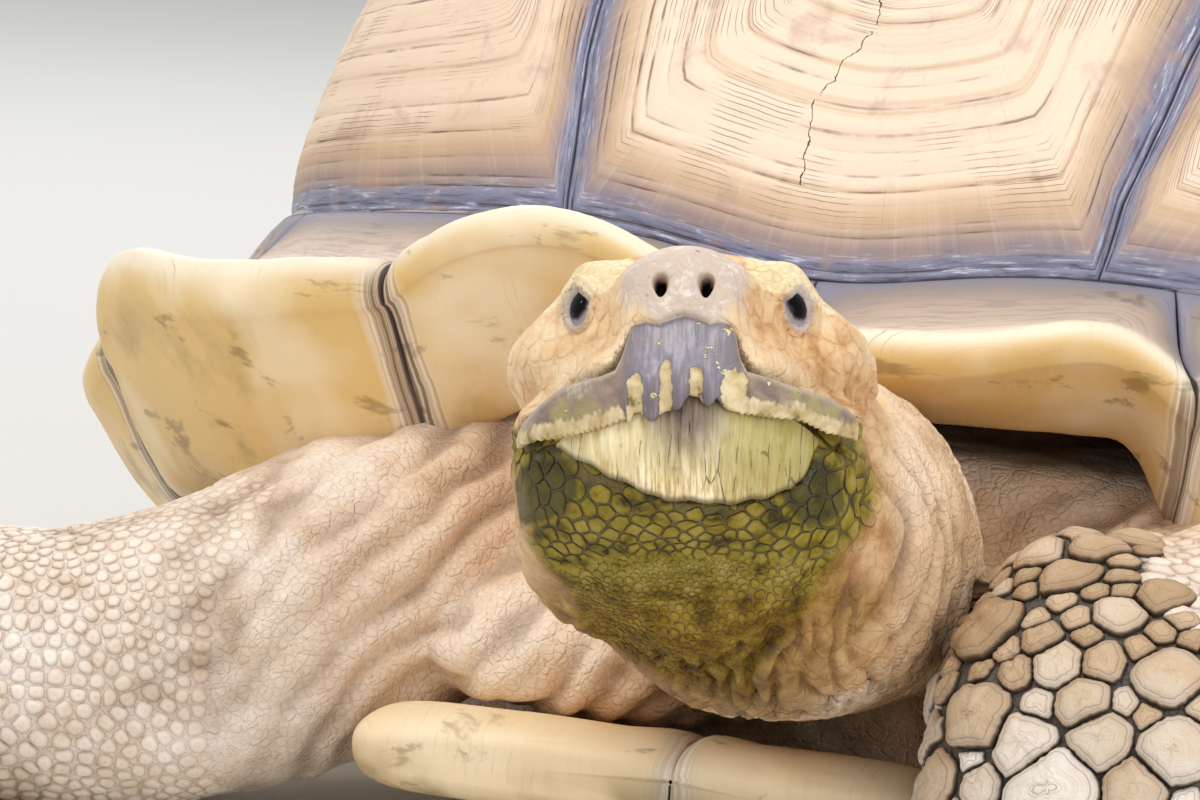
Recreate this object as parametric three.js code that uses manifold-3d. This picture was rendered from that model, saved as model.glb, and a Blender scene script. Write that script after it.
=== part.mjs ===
// Sulcata tortoise at rest, life-size, in millimetres.
// +Z is up, the head points to -Y, the animal's left side is +X and the floor is z = 0.
import * as THREE from 'three';
import { mergeVertices } from 'three/addons/utils/BufferGeometryUtils.js';
import Module from 'manifold-3d';

const wasm = await Module();
wasm.setup();

// Driving dimensions of the upper shell, taken along the seam between dome and rim plates.
const shell = {
  halfWidth: 214,
  frontReach: 262,
  rearReach: 280,
  centreY: 0,
  outlinePower: 2.75,
  topZ: 278,
  frontSeamZ: 161,
  frontSeamDip: 11,
  dipAngle: 0.18,
  sideSeamZ: 107,
  rearSeamZ: 114,
};
const plateThickness = 8;
const plateGap = 0.8;      // between neighbouring plates
const fleshGap = 0.5;      // between neighbouring soft parts
const floorZ = 0;

// Rim plates of one side, from the front midline to the tail plate:
// end = polar angle where the plate ends, reach and lip = how far out and how high its edge is,
// turn = extra swing of the edge away from the head, root and inset = where its underside ends,
// thick = thickness of the edge, notch = how far the edge steps in at the plate's end.
const rimPlates = [
  { end: 20, reach: 39, lip: 165, turn: 0, root: 113, inset: 0, thick: 11, notch: 10 },
  { end: 39.5, reach: 64, lip: 139, turn: 16, root: 76, inset: -32, thick: 18, notch: 6 },
  { end: 55.5, reach: 54, lip: 97, turn: 6, root: 50, inset: -20, thick: 15, notch: 4 },
  { end: 69, reach: 33, lip: 76, turn: 4, root: 46, inset: 6, thick: 11, notch: 2 },
  { end: 83, reach: 21, lip: 60, turn: 0, root: 42, inset: 14, thick: 11, notch: 1 },
  { end: 97, reach: 18, lip: 55, turn: 0, root: 40, inset: 16, thick: 11, notch: 1 },
  { end: 111, reach: 20, lip: 55, turn: 0, root: 42, inset: 14, thick: 11, notch: 3 },
  { end: 126, reach: 34, lip: 60, turn: -4, root: 50, inset: 6, thick: 10, notch: 6 },
  { end: 141, reach: 41, lip: 62, turn: -8, root: 66, inset: 4, thick: 10, notch: 7 },
  { end: 154.5, reach: 40, lip: 59, turn: -6, root: 72, inset: 4, thick: 10, notch: 7 },
  { end: 168, reach: 35, lip: 54, turn: -3, root: 72, inset: 4, thick: 10, notch: 6 },
  { end: 180, reach: 31, lip: 46, turn: 0, root: 66, inset: 4, thick: 12, notch: 0 },
];
// The first rim plate curls up less on the left side.
const leftFirstPlate = { end: 20, lip: 152, root: 117 };
const midlineNotch = 9;
const rimSag = 9;             // how far the upper face of a broad plate is dished
const midlineLip = 143;
const firstPlatePeak = { left: 4.3, right: 1.4 };   // pushes the first plate's highest part outwards
const rimColumns = [4, 4, 4, 3, 3, 3, 3, 3, 3, 3, 3, 2];

// Plan positions of the corners where dome plates meet, for one side (x is mirrored).
const spineCorners = [
  { x: 84, y: -196 },      // widest point of the first vertebral plate
  { x: 64, y: -142 },      // vertebral 1 and 2
  { x: 90, y: -88 },       // costal 1 and 2
  { x: 68, y: -35 },       // vertebral 2 and 3
  { x: 93, y: 18 },        // costal 2 and 3
  { x: 65, y: 70 },        // vertebral 3 and 4
  { x: 84, y: 118 },       // costal 3 and 4
  { x: 50, y: 172 },       // vertebral 4 and 5
];
const frontCornerAngle = 15.8;          // first vertebral plate's front corners
const costalEndAngles = [74, 105, 134]; // costal seams where they reach the rim
const rearCornerAngle = 157;            // last vertebral plate's rear corners

const plastron = { thick: 15, front: -262, flatHalf: 118 };
const gular = { front: -352, seamX: 1, rightX: -92, leftX: 72, tipTopZ: 43, tipThick: 26, rootTopZ: 26 };

const headPlace = {
  at: new THREE.Vector3(18.2, -406.4, 129.2),  // middle of the mouth corners
  yaw: 15.5,
  pitch: 24,
  roll: 4.5,
};
const eye = { radius: 9.5, side: 22.6, forward: 14.5, up: 22.2 };

const deg = THREE.MathUtils.degToRad;
const lerp = THREE.MathUtils.lerp;
const clamp = THREE.MathUtils.clamp;
const group = new THREE.Group();

const colours = {
  scute: 0xc9a27a,
  rim: 0xd6b26c,
  under: 0xcfa869,
  skin: 0xb79a76,
  head: 0xc8a47c,
  beak: 0x8d8590,
  lowerBeak: 0xcdbb80,
  eye: 0x15100f,
};

// shared mesh helpers

function meshFrom(points, faces) {
  const geometry = new THREE.BufferGeometry();
  const values = points.flatMap((p) => [p.x, p.y, p.z]);
  geometry.setAttribute('position', new THREE.Float32BufferAttribute(values, 3));
  geometry.setIndex(faces.flat());
  return geometry;
}

function volumeSign(points, faces) {
  let sum = 0;
  for (const [a, b, c] of faces) {
    sum += points[a].dot(new THREE.Vector3().crossVectors(points[b], points[c]));
  }
  return Math.sign(sum);
}

function closedMesh(points, faces) {
  if (volumeSign(points, faces) < 0) {
    return meshFrom(points, faces.map(([a, b, c]) => [a, c, b]));
  }
  return meshFrom(points, faces);
}

// A closed body through rings of equal point counts, with a middle point on each end ring.
function loft(rings) {
  const count = rings[0].length;
  const points = rings.flat().map((p) => p.clone());
  const faces = [];
  for (let ring = 0; ring < rings.length - 1; ring += 1) {
    for (let i = 0; i < count; i += 1) {
      const next = (i + 1) % count;
      const a = ring * count + i;
      const b = ring * count + next;
      const c = (ring + 1) * count + next;
      const d = (ring + 1) * count + i;
      faces.push([a, b, c], [a, c, d]);
    }
  }
  const ends = [0, (rings.length - 1) * count];
  ends.forEach((start, end) => {
    const middle = new THREE.Vector3();
    for (let i = 0; i < count; i += 1) {
      middle.addScaledVector(points[start + i], 1 / count);
    }
    points.push(middle);
    for (let i = 0; i < count; i += 1) {
      const a = start + i;
      const b = start + ((i + 1) % count);
      faces.push(end === 0 ? [points.length - 1, b, a] : [points.length - 1, a, b]);
    }
  });
  return closedMesh(points, faces);
}

function toSolid(geometry) {
  const bare = geometry.clone();
  bare.deleteAttribute('normal');
  bare.deleteAttribute('uv');
  const merged = mergeVertices(bare, 1e-4);
  return new wasm.Manifold(new wasm.Mesh({
    numProp: 3,
    vertProperties: new Float32Array(merged.attributes.position.array),
    triVerts: new Uint32Array(merged.index.array),
  }));
}

function fromSolid(solid) {
  const mesh = solid.getMesh();
  const geometry = new THREE.BufferGeometry();
  geometry.setAttribute('position', new THREE.BufferAttribute(new Float32Array(mesh.vertProperties), 3));
  geometry.setIndex(new THREE.BufferAttribute(new Uint32Array(mesh.triVerts), 1));
  return geometry;
}

function addNode(name, geometry, colour, roughness = 0.6) {
  const material = new THREE.MeshStandardMaterial({ color: colour, roughness, metalness: 0 });
  const mesh = new THREE.Mesh(geometry, material);
  mesh.name = name;
  group.add(mesh);
}

function smooth(x) {
  const t = clamp(x, 0, 1);
  return t * t * (3 - 2 * t);
}

// dome surface

function outlineRadius(angle) {
  const reach = Math.cos(angle) > 0 ? shell.frontReach : shell.rearReach;
  const side = (Math.abs(Math.sin(angle)) / shell.halfWidth) ** shell.outlinePower;
  const length = (Math.abs(Math.cos(angle)) / reach) ** shell.outlinePower;
  return (side + length) ** (-1 / shell.outlinePower);
}

function seamHeight(angle) {
  const c = Math.cos(angle);
  if (c > 0) {
    const dip = shell.frontSeamDip * Math.exp(-((angle / shell.dipAngle) ** 2));
    return lerp(shell.sideSeamZ, shell.frontSeamZ, c ** 1.35) - dip;
  }
  return lerp(shell.sideSeamZ, shell.rearSeamZ, c * c);
}

// Height of the dome at a fraction of the way from its axis to the seam.
function domeHeight(angle, fraction) {
  const boxy = Math.abs(Math.sin(angle));
  const power = 2.5 + 1.3 * boxy;
  const cut = 0.93 + 0.055 * boxy;
  const floor = Math.sqrt(1 - cut ** power);
  const rise = (Math.sqrt(Math.max(0, 1 - (cut * fraction) ** power)) - floor) / (1 - floor);
  return lerp(seamHeight(angle), shell.topZ, rise);
}

// Arc lengths along one meridian, so that plates keep their size on the steep flanks.
const arcSteps = 48;
function meridian(angle) {
  const radius = outlineRadius(angle);
  const fractions = [];
  const lengths = [0];
  for (let i = 0; i <= arcSteps; i += 1) {
    fractions.push(Math.sin((Math.PI / 2) * (i / arcSteps)));
    if (i > 0) {
      const run = radius * (fractions[i] - fractions[i - 1]);
      const drop = domeHeight(angle, fractions[i - 1]) - domeHeight(angle, fractions[i]);
      lengths.push(lengths[i - 1] + Math.hypot(run, drop));
    }
  }
  return { fractions, lengths: lengths.map((length) => length / lengths[arcSteps]) };
}

function remap(value, from, to) {
  let i = 1;
  while (i < from.length - 1 && from[i] < value) {
    i += 1;
  }
  return lerp(to[i - 1], to[i], clamp((value - from[i - 1]) / (from[i] - from[i - 1]), 0, 1));
}

// Chart points lie in a unit disc: direction is the polar angle, length the share of the arc.
function chartFromPlan(x, y) {
  const angle = Math.atan2(x, shell.centreY - y);
  const table = meridian(angle);
  const fraction = Math.hypot(x, y - shell.centreY) / outlineRadius(angle);
  const arc = remap(fraction, table.fractions, table.lengths);
  return new THREE.Vector2(arc * Math.sin(angle), -arc * Math.cos(angle));
}

function chartAtSeam(angleDegrees) {
  const angle = deg(angleDegrees);
  return new THREE.Vector2(Math.sin(angle), -Math.cos(angle));
}

function domePoint(chart) {
  const angle = Math.atan2(chart.x, -chart.y);
  const table = meridian(angle);
  const fraction = remap(chart.length(), table.lengths, table.fractions);
  const radius = fraction * outlineRadius(angle);
  const x = radius * Math.sin(angle);
  const y = shell.centreY - radius * Math.cos(angle);
  return new THREE.Vector3(x, y, domeHeight(angle, fraction));
}

function domeNormal(chart) {
  const step = 0.01;
  const inner = chart.length() > 1 - step ? chart.clone().setLength(1 - step) : chart;
  const along = (dx, dy) => domePoint(new THREE.Vector2(inner.x + dx, inner.y + dy));
  const alongX = along(step, 0).sub(along(-step, 0));
  const alongY = along(0, step).sub(along(0, -step));
  return alongX.cross(alongY).normalize();
}

// dome plates

// Angles at which the rim plates have columns, shared by the dome plates' lower edges.
function rimSamples(side) {
  const samples = [];
  let start = 0;
  rimPlates.forEach((plate, index) => {
    const end = rimEnd(index, side);
    for (let i = 0; i < rimColumns[index]; i += 1) {
      samples.push(lerp(start, end, i / rimColumns[index]));
    }
    start = end;
  });
  samples.push(180);
  return samples;
}

function rimEnd(index, side) {
  return index === 0 && side > 0 ? leftFirstPlate.end : rimPlates[index].end;
}

function seamRun(side, from, to) {
  const inside = rimSamples(side).filter((angle) => angle > from + 1 && angle < to - 1);
  return [from, ...inside].map((angle) => chartAtSeam(side * angle));
}

function straightRun(from, to, parts) {
  const run = [];
  for (let i = 0; i < parts; i += 1) {
    run.push(from.clone().lerp(to, i / parts));
  }
  return run;
}

function cornerRun(corners, parts = 3) {
  const run = [];
  for (let i = 0; i < corners.length - 1; i += 1) {
    run.push(...straightRun(corners[i], corners[i + 1], parts));
  }
  return run;
}

// Moves each outline point inwards along the surface by half the gap between plates.
function insetOutline(points, normals) {
  const count = points.length;
  return points.map((point, i) => {
    const before = point.clone().sub(points[(i + count - 1) % count]).normalize();
    const after = points[(i + 1) % count].clone().sub(point).normalize();
    const inA = new THREE.Vector3().crossVectors(normals[i], before);
    const inB = new THREE.Vector3().crossVectors(normals[i], after);
    const bisector = inA.add(inB).normalize();
    const cosine = Math.max(0.5, bisector.dot(inB));
    return point.clone().addScaledVector(bisector, plateGap / 2 / cosine);
  });
}

// Rings from the edge to the flat areola, each raised a little above the one outside it.
const plateRings = [
  { share: 0, lift: -1.5 },
  { share: 0.16, lift: 1.5 },
  { share: 0.62, lift: 4 },
];

function domePlate(outline, areola) {
  const charts = signedArea(outline) < 0 ? outline.slice().reverse() : outline;
  const normals = charts.map(domeNormal);
  const edge = insetOutline(charts.map(domePoint), normals);
  const count = charts.length;
  const points = [];
  plateRings.forEach(({ share, lift }) => {
    charts.forEach((chart, i) => {
      const at = chart.clone().lerp(areola, share);
      const base = share === 0 ? edge[i] : domePoint(at);
      points.push(base.clone().addScaledVector(domeNormal(at), lift));
    });
  });
  points.push(domePoint(areola).addScaledVector(domeNormal(areola), 5));
  const top = points.length - 1;
  const lower = points.length;
  charts.forEach((chart, i) => points.push(edge[i].clone().addScaledVector(normals[i], -plateThickness)));
  const innerShare = 0.5;
  charts.forEach((chart) => {
    const at = chart.clone().lerp(areola, innerShare);
    points.push(domePoint(at).addScaledVector(domeNormal(at), -plateThickness));
  });
  points.push(domePoint(areola).addScaledVector(domeNormal(areola), -plateThickness));
  const bottom = points.length - 1;
  const faces = [];
  const band = (a, b) => {
    for (let i = 0; i < count; i += 1) {
      const next = (i + 1) % count;
      faces.push([a + i, a + next, b + next], [a + i, b + next, b + i]);
    }
  };
  band(0, count);
  band(count, 2 * count);
  band(lower + count, lower);
  band(lower, 0);
  for (let i = 0; i < count; i += 1) {
    const next = (i + 1) % count;
    faces.push([2 * count + i, 2 * count + next, top]);
    faces.push([lower + count + next, lower + count + i, bottom]);
  }
  return closedMesh(points, faces);
}

function signedArea(outline) {
  return outline.reduce((sum, p, i) => sum + p.cross(outline[(i + 1) % outline.length]), 0);
}

function middleOf(outline) {
  return outline.reduce((sum, p) => sum.addScaledVector(p, 1 / outline.length), new THREE.Vector2());
}

function makeDomePlates() {
  const corner = (side, index) => chartFromPlan(side * spineCorners[index].x, spineCorners[index].y);
  const vertebral = (index, outline, areola) => {
    addNode(`vertebral_${index}`, domePlate(outline, areola), colours.scute);
  };
  const leftFront = chartAtSeam(frontCornerAngle);
  const rightFront = chartAtSeam(-frontCornerAngle);
  const leftRear = chartAtSeam(rearCornerAngle);
  const rightRear = chartAtSeam(-rearCornerAngle);

  const firstOutline = [
    rightFront,
    ...seamRun(-1, 0, frontCornerAngle).slice(1).reverse(),
    ...seamRun(1, 0, frontCornerAngle),
    ...cornerRun([leftFront, corner(1, 0), corner(1, 1), corner(-1, 1), corner(-1, 0), rightFront]),
  ];
  vertebral(1, firstOutline, chartFromPlan(0, -188));
  [[1, 2, 3], [3, 4, 5], [5, 6, 7]].forEach(([front, middle, rear], index) => {
    const outline = cornerRun([
      corner(1, front), corner(1, middle), corner(1, rear),
      corner(-1, rear), corner(-1, middle), corner(-1, front), corner(1, front),
    ]);
    const centreY = (spineCorners[front].y + spineCorners[rear].y) / 2;
    vertebral(index + 2, outline, chartFromPlan(0, centreY + 8));
  });
  const lastOutline = [
    ...cornerRun([rightRear, corner(-1, 7), corner(1, 7), leftRear]),
    ...seamRun(1, rearCornerAngle, 180),
    chartAtSeam(180),
    ...seamRun(-1, rearCornerAngle, 180).slice(1).reverse(),
  ];
  vertebral(5, lastOutline, chartFromPlan(0, 205));

  [1, -1].forEach((side) => {
    const name = side > 0 ? 'left' : 'right';
    const front = chartAtSeam(side * frontCornerAngle);
    const rear = chartAtSeam(side * rearCornerAngle);
    const starts = [frontCornerAngle, ...costalEndAngles];
    const ends = [...costalEndAngles, rearCornerAngle];
    const inner = [
      [corner(side, 2), corner(side, 1), corner(side, 0), front],
      [corner(side, 4), corner(side, 3), corner(side, 2)],
      [corner(side, 6), corner(side, 5), corner(side, 4)],
      [rear, corner(side, 7), corner(side, 6)],
    ];
    inner.forEach((corners, index) => {
      const seam = seamRun(side, starts[index], ends[index]);
      const endPoint = chartAtSeam(side * ends[index]);
      const outline = [...seam, ...cornerRun([endPoint, ...corners, chartAtSeam(side * starts[index])])];
      const clean = outline.filter((p, i) => p.distanceTo(outline[(i + 1) % outline.length]) > 1e-4);
      const areola = middleOf(clean).multiplyScalar(0.86);
      addNode(`costal_${name}_${index + 1}`, domePlate(clean, areola), colours.scute);
    });
  });
}

// rim plates

function rimValue(index, share, side, key) {
  const value = (i) => {
    if (side > 0 && i === 0 && key in leftFirstPlate) {
      return leftFirstPlate[key];
    }
    return rimPlates[i][key];
  };
  const middle = value(index);
  const midline = key === 'lip' ? midlineLip : middle;
  const before = index === 0 ? midline : (value(index - 1) + middle) / 2;
  const after = index === rimPlates.length - 1 ? middle : (value(index + 1) + middle) / 2;
  const peak = side > 0 ? firstPlatePeak.left : firstPlatePeak.right;
  const along = index === 0 ? share ** peak : share;
  const edge = along < 0.5 ? before : after;
  return lerp(middle, edge, (2 * along - 1) ** 2);
}

function rimNotch(index, share) {
  const before = index === 0 ? midlineNotch : rimPlates[index - 1].notch;
  const depth = share < 0.5 ? before : rimPlates[index].notch;
  return depth * (2 * share - 1) ** 4;
}

function outlineNormalAngle(angle) {
  const step = 0.01;
  const at = (a) => new THREE.Vector2(Math.sin(a), -Math.cos(a)).multiplyScalar(outlineRadius(a));
  const along = at(angle + step).sub(at(angle - step));
  return Math.atan2(along.y, along.x);
}

// One closed cross-section of the rim: seam, dished upper face, rounded edge, underside, inner wall.
function rimSection(index, share, side, angleDegrees) {
  const angle = deg(angleDegrees);
  const radius = outlineRadius(angle);
  const seamY = shell.centreY - radius * Math.cos(angle);
  const seam = new THREE.Vector3(radius * Math.sin(angle), seamY, seamHeight(angle));
  const heading = outlineNormalAngle(angle) + deg(rimValue(index, share, side, 'turn'));
  const out = new THREE.Vector3(Math.sin(heading), -Math.cos(heading), 0);
  const reach = rimValue(index, share, side, 'reach') - rimNotch(index, share);
  const lip = rimValue(index, share, side, 'lip') - rimNotch(index, share) * 0.6;
  const thick = rimValue(index, share, side, 'thick');
  const root = rimValue(index, share, side, 'root');
  const inset = rimValue(index, share, side, 'inset');
  const flare = smooth((reach - 25) / 30);
  const sag = rimSag * flare;
  const wall = domeNormal(chartAtSeam(angleDegrees));
  const rootOut = -inset;
  const profile = [
    [0.2, seam.z - 0.2],
    [0.35 * reach, lerp(seam.z, lip, 0.38) - sag],
    [0.7 * reach, lerp(seam.z, lip, 0.75) - sag * 0.6],
    [reach - 3.5, lip],
    [reach, lip - thick * 0.35],
    [reach - 1.5, lip - thick * 0.86],
    [reach - 5, lip - thick - 3 * flare],
    [lerp(rootOut, reach - 7, 0.5) + 3 * flare, lerp(root, lip - thick, 0.5) - 5 * flare],
    [rootOut, root],
    [Math.min(rootOut, 0) - 6, Math.min(root + 10, seam.z - 14)],
  ];
  const points = profile.map(([distance, z]) => {
    const point = seam.clone().addScaledVector(out, distance);
    point.z = z;
    return point;
  });
  points.push(seam.clone().addScaledVector(wall, -plateThickness).setZ(seam.z - 1 - plateThickness * wall.z));
  points.forEach((point) => {
    point.addScaledVector(out, plateGap * 0.75);
    point.x *= side;
  });
  return points;
}

function makeRimPlates() {
  [1, -1].forEach((side) => {
    const name = side > 0 ? 'left' : 'right';
    let start = 0;
    for (let index = 0; index < rimPlates.length - 1; index += 1) {
      const end = rimEnd(index, side);
      const columns = rimColumns[index];
      const halfGap = THREE.MathUtils.radToDeg(plateGap / 2 / outlineRadius(deg(end)));
      const rings = [];
      for (let i = 0; i <= columns; i += 1) {
        const share = i / columns;
        const nudge = i === 0 ? halfGap : (i === columns ? -halfGap : 0);
        rings.push(rimSection(index, share, side, lerp(start, end, share) + nudge));
      }
      addNode(`marginal_${name}_${index + 1}`, loft(rings), colours.rim);
      start = end;
    }
  });
  const last = rimPlates.length - 1;
  const start = rimPlates[last - 1].end;
  const halfGap = THREE.MathUtils.radToDeg(plateGap / 2 / outlineRadius(Math.PI));
  const rings = [];
  for (let i = 0; i <= 4; i += 1) {
    const side = i <= 2 ? 1 : -1;
    const share = i <= 2 ? i / 2 : (4 - i) / 2;
    const angle = lerp(start + (share === 0 ? halfGap : 0), 180, share);
    rings.push(rimSection(last, 0.5 * share, side, angle));
  }
  addNode('supracaudal', loft(rings), colours.rim);
}

// soft parts

const ringPoints = 11;
const headPoints = 14;

// A limb through stations of centre, half-width and half-height; grow widens it all round.
function limb(stations, grow = 0) {
  const centres = stations.map(({ at }) => new THREE.Vector3(...at));
  const rings = stations.map(({ wide, high, square = 2.3 }, i) => {
    const ahead = centres[Math.min(i + 1, centres.length - 1)];
    const behind = centres[Math.max(i - 1, 0)];
    const forward = ahead.clone().sub(behind).normalize();
    const upHint = new THREE.Vector3(...(stations[i].up ?? [0, 0, 1]));
    const across = new THREE.Vector3().crossVectors(forward, upHint).normalize();
    const above = new THREE.Vector3().crossVectors(across, forward).normalize();
    const ring = [];
    for (let k = 0; k < ringPoints; k += 1) {
      const a = (2 * Math.PI * k) / ringPoints;
      const c = Math.sign(Math.cos(a)) * Math.abs(Math.cos(a)) ** (2 / square);
      const s = Math.sign(Math.sin(a)) * Math.abs(Math.sin(a)) ** (2 / square);
      const point = centres[i].clone().addScaledVector(across, (wide + grow) * c);
      ring.push(point.addScaledVector(above, (high + grow) * s));
    }
    return ring;
  });
  return toSolid(loft(rings));
}

const floorBlock = toSolid(new THREE.BoxGeometry(1200, 1400, 200).translate(0, 0, floorZ - 100));

function claw(at, heading, length, radius) {
  const cone = new THREE.CylinderGeometry(radius * 0.35, radius, length, 5).scale(1, 1, 0.8);
  cone.rotateX(deg(-12));
  cone.rotateZ(deg(heading) + Math.PI);
  cone.translate(at[0], at[1], at[2]);
  return toSolid(cone);
}

const rightArm = [
  { at: [-66, -205, 74], wide: 46, high: 34 },
  { at: [-102, -262, 66], wide: 46, high: 38 },
  { at: [-134, -303, 46], wide: 45, high: 40 },
  { at: [-176, -322, 35], wide: 41, high: 37 },
  { at: [-218, -334, 32], wide: 38, high: 34 },
  { at: [-258, -344, 26], wide: 36, high: 28 },
  { at: [-290, -352, 17], wide: 34, high: 19 },
  { at: [-310, -358, 11], wide: 26, high: 12 },
];
const leftArm = [
  { at: [94, -206, 74], wide: 44, high: 34 },
  { at: [118, -262, 72], wide: 46, high: 33 },
  { at: [118, -312, 71], wide: 49, high: 31, up: [0, -0.2, 1] },
  { at: [117, -346, 62], wide: 50, high: 36, up: [0, -0.8, 0.6] },
  { at: [118, -362, 36], wide: 48, high: 34, up: [0, -1, 0.2] },
  { at: [119, -368, 14], wide: 44, high: 32, up: [0, -1, 0.1] },
  { at: [120, -370, -6], wide: 42, high: 32, up: [0, -1, 0.1] },
];
const hindLeg = [
  { at: [84, 132, 46], wide: 42, high: 28 },
  { at: [132, 184, 42], wide: 42, high: 27 },
  { at: [160, 218, 34], wide: 39, high: 27, up: [0.1, 0.2, 1] },
  { at: [173, 236, 17], wide: 36, high: 34, up: [0.5, 0.8, 0.2] },
  { at: [176, 240, -6], wide: 37, high: 36, up: [0.5, 0.85, 0.1] },
];
const tailStations = [
  { at: [0, 205, 46], wide: 26, high: 20 },
  { at: [6, 244, 36], wide: 20, high: 16 },
  { at: [20, 276, 21], wide: 13, high: 12 },
  { at: [36, 296, 9], wide: 8, high: 8 },
  { at: [46, 304, 4], wide: 4, high: 4 },
];
const neckStations = [
  { at: [21, -390, 114], wide: 38, high: 39 },
  { at: [24, -374, 102], wide: 43, high: 43 },
  { at: [24, -348, 95], wide: 47, high: 43 },
  { at: [14, -312, 87], wide: 48, high: 41 },
  { at: [4, -272, 74], wide: 48, high: 33 },
  { at: [0, -235, 72], wide: 47, high: 31 },
];
// Loose skin of the chest, between the neck and the right foreleg.
const chestStations = [
  { at: [-44, -206, 60], wide: 62, high: 36 },
  { at: [-46, -244, 59], wide: 56, high: 33 },
  { at: [-46, -278, 57], wide: 48, high: 27 },
  { at: [-44, -306, 53], wide: 38, high: 17 },
  { at: [-42, -318, 50], wide: 24, high: 9 },
];

// head, in its own frame: side to the animal's left, forward to the nose, up

const headAxes = (() => {
  const yaw = deg(headPlace.yaw);
  const pitch = deg(headPlace.pitch);
  const roll = deg(headPlace.roll);
  const level = new THREE.Vector3(Math.cos(yaw), Math.sin(yaw), 0);
  const forward = new THREE.Vector3(Math.sin(yaw), -Math.cos(yaw), 0).multiplyScalar(Math.cos(pitch));
  forward.z = Math.sin(pitch);
  const upright = new THREE.Vector3().crossVectors(forward, level).normalize();
  const side = level.clone().multiplyScalar(Math.cos(roll)).addScaledVector(upright, Math.sin(roll));
  const up = upright.clone().multiplyScalar(Math.cos(roll)).addScaledVector(level, -Math.sin(roll));
  return { side, forward, up };
})();

function headPoint(side, forward, up) {
  return headPlace.at.clone()
    .addScaledVector(headAxes.side, side)
    .addScaledVector(headAxes.forward, forward)
    .addScaledVector(headAxes.up, up);
}

// A body along the head's forward axis: stations of half-width, top and bottom.
function headLoft(stations, grow = 0) {
  const rings = stations.map(({ f, wide, top, bottom, flat = 2.4, narrow = 0 }) => {
    const ring = [];
    for (let k = 0; k < headPoints; k += 1) {
      const a = (2 * Math.PI * k) / headPoints;
      const c = Math.sign(Math.cos(a)) * Math.abs(Math.cos(a)) ** (2 / flat);
      const s = Math.sign(Math.sin(a)) * Math.abs(Math.sin(a)) ** (2 / flat);
      const middle = (top + bottom) / 2;
      const half = (top - bottom) / 2 + grow;
      const taper = 1 - narrow * Math.max(0, s);
      ring.push(headPoint((wide + grow) * c * taper, f, middle + half * s));
    }
    return ring;
  });
  return toSolid(loft(rings));
}

const skullStations = [
  { f: -46, wide: 30, top: 27, bottom: -14 },
  { f: -36, wide: 37, top: 36, bottom: -10 },
  { f: -20, wide: 43, top: 42, bottom: -4, narrow: 0.18 },
  { f: -4, wide: 43, top: 43, bottom: -2, narrow: 0.24 },
  { f: 8, wide: 39, top: 42, bottom: -1, narrow: 0.26 },
  { f: 20, wide: 30, top: 39.5, bottom: -1, narrow: 0.25 },
  { f: 30, wide: 22, top: 37, bottom: -1.5, narrow: 0.1 },
  { f: 37, wide: 16, top: 33.5, bottom: 2 },
  { f: 41, wide: 11, top: 29, bottom: 10 },
];
const jawStations = [
  { f: -44, wide: 30, top: -15, bottom: -46, flat: 2.2 },
  { f: -30, wide: 40, top: -11, bottom: -45, flat: 2.2 },
  { f: -14, wide: 42, top: -6, bottom: -41, flat: 2.4 },
  { f: 2, wide: 41, top: -3, bottom: -37, flat: 2.4 },
  { f: 16, wide: 34.5, top: -3, bottom: -33, flat: 2.4 },
  { f: 27, wide: 26, top: -4, bottom: -29, flat: 2.3 },
  { f: 35, wide: 16, top: -8, bottom: -25, flat: 2.2 },
];
// The horn of each jaw is a curved band that follows the jaw's outline in plan.
const upperBeakBand = {
  back: 2, front: 43.5, side: 40.5, thick: 6, sideLow: -7, sideHigh: 2, frontLow: -7, frontHigh: 14,
};
const lowerBeakBand = {
  back: 8, front: 40.5, side: 31.5, thick: 6, sideLow: -12, sideHigh: -8.5, frontLow: -27, frontHigh: -8,
};
const beakSweep = deg(80);
const beakRoom = 4;      // how far the skull and jaw step back under the horn

function beakBand(band) {
  const columns = 12;
  const rings = [];
  for (let i = 0; i <= columns; i += 1) {
    const t = (2 * i) / columns - 1;
    const a = t * beakSweep;
    const forwardShare = Math.cos(a) ** 0.8;
    const centre = new THREE.Vector2(
      (band.side * Math.sin(a)) / Math.sin(beakSweep),
      lerp(band.back, band.front, forwardShare),
    );
    const inward = new THREE.Vector2(-Math.sin(a), -Math.cos(a));
    const front = Math.cos(a) ** 3;
    const low = lerp(band.sideLow, band.frontLow, front);
    const high = lerp(band.sideHigh, band.frontHigh, front);
    const back = centre.clone().addScaledVector(inward, band.thick);
    rings.push([
      headPoint(centre.x, centre.y - 1.5, high),
      headPoint(centre.x, centre.y, lerp(high, low, 0.35)),
      headPoint(centre.x, centre.y, lerp(high, low, 0.75)),
      headPoint(centre.x * 0.985, centre.y - 1, low),
      headPoint(back.x, back.y, low + 1),
      headPoint(back.x, back.y, high - 1),
    ]);
  }
  return toSolid(loft(rings));
}

function eyeBall(side, grow = 0) {
  const place = headPoint(side * eye.side, eye.forward, eye.up);
  return toSolid(new THREE.SphereGeometry(eye.radius + grow, 8, 6).translate(place.x, place.y, place.z));
}

// trunk and lower shell

// wallGap, frontGap and rearGap = inwards from the outline of the shell at the sides, front and rear,
// roofGap and roofInset = under the dome, tuck = flank drawn in near the floor.
const trunk = {
  wallGap: 24,
  frontGap: 16,
  frontBulge: 24,
  rearGap: 34,
  roofGap: 19,
  roofInset: 13,
  tuck: 14,
  points: 16,
  levels: [19, 38, 60, 80, 98, 120, 160, 210, 246],
};

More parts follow.
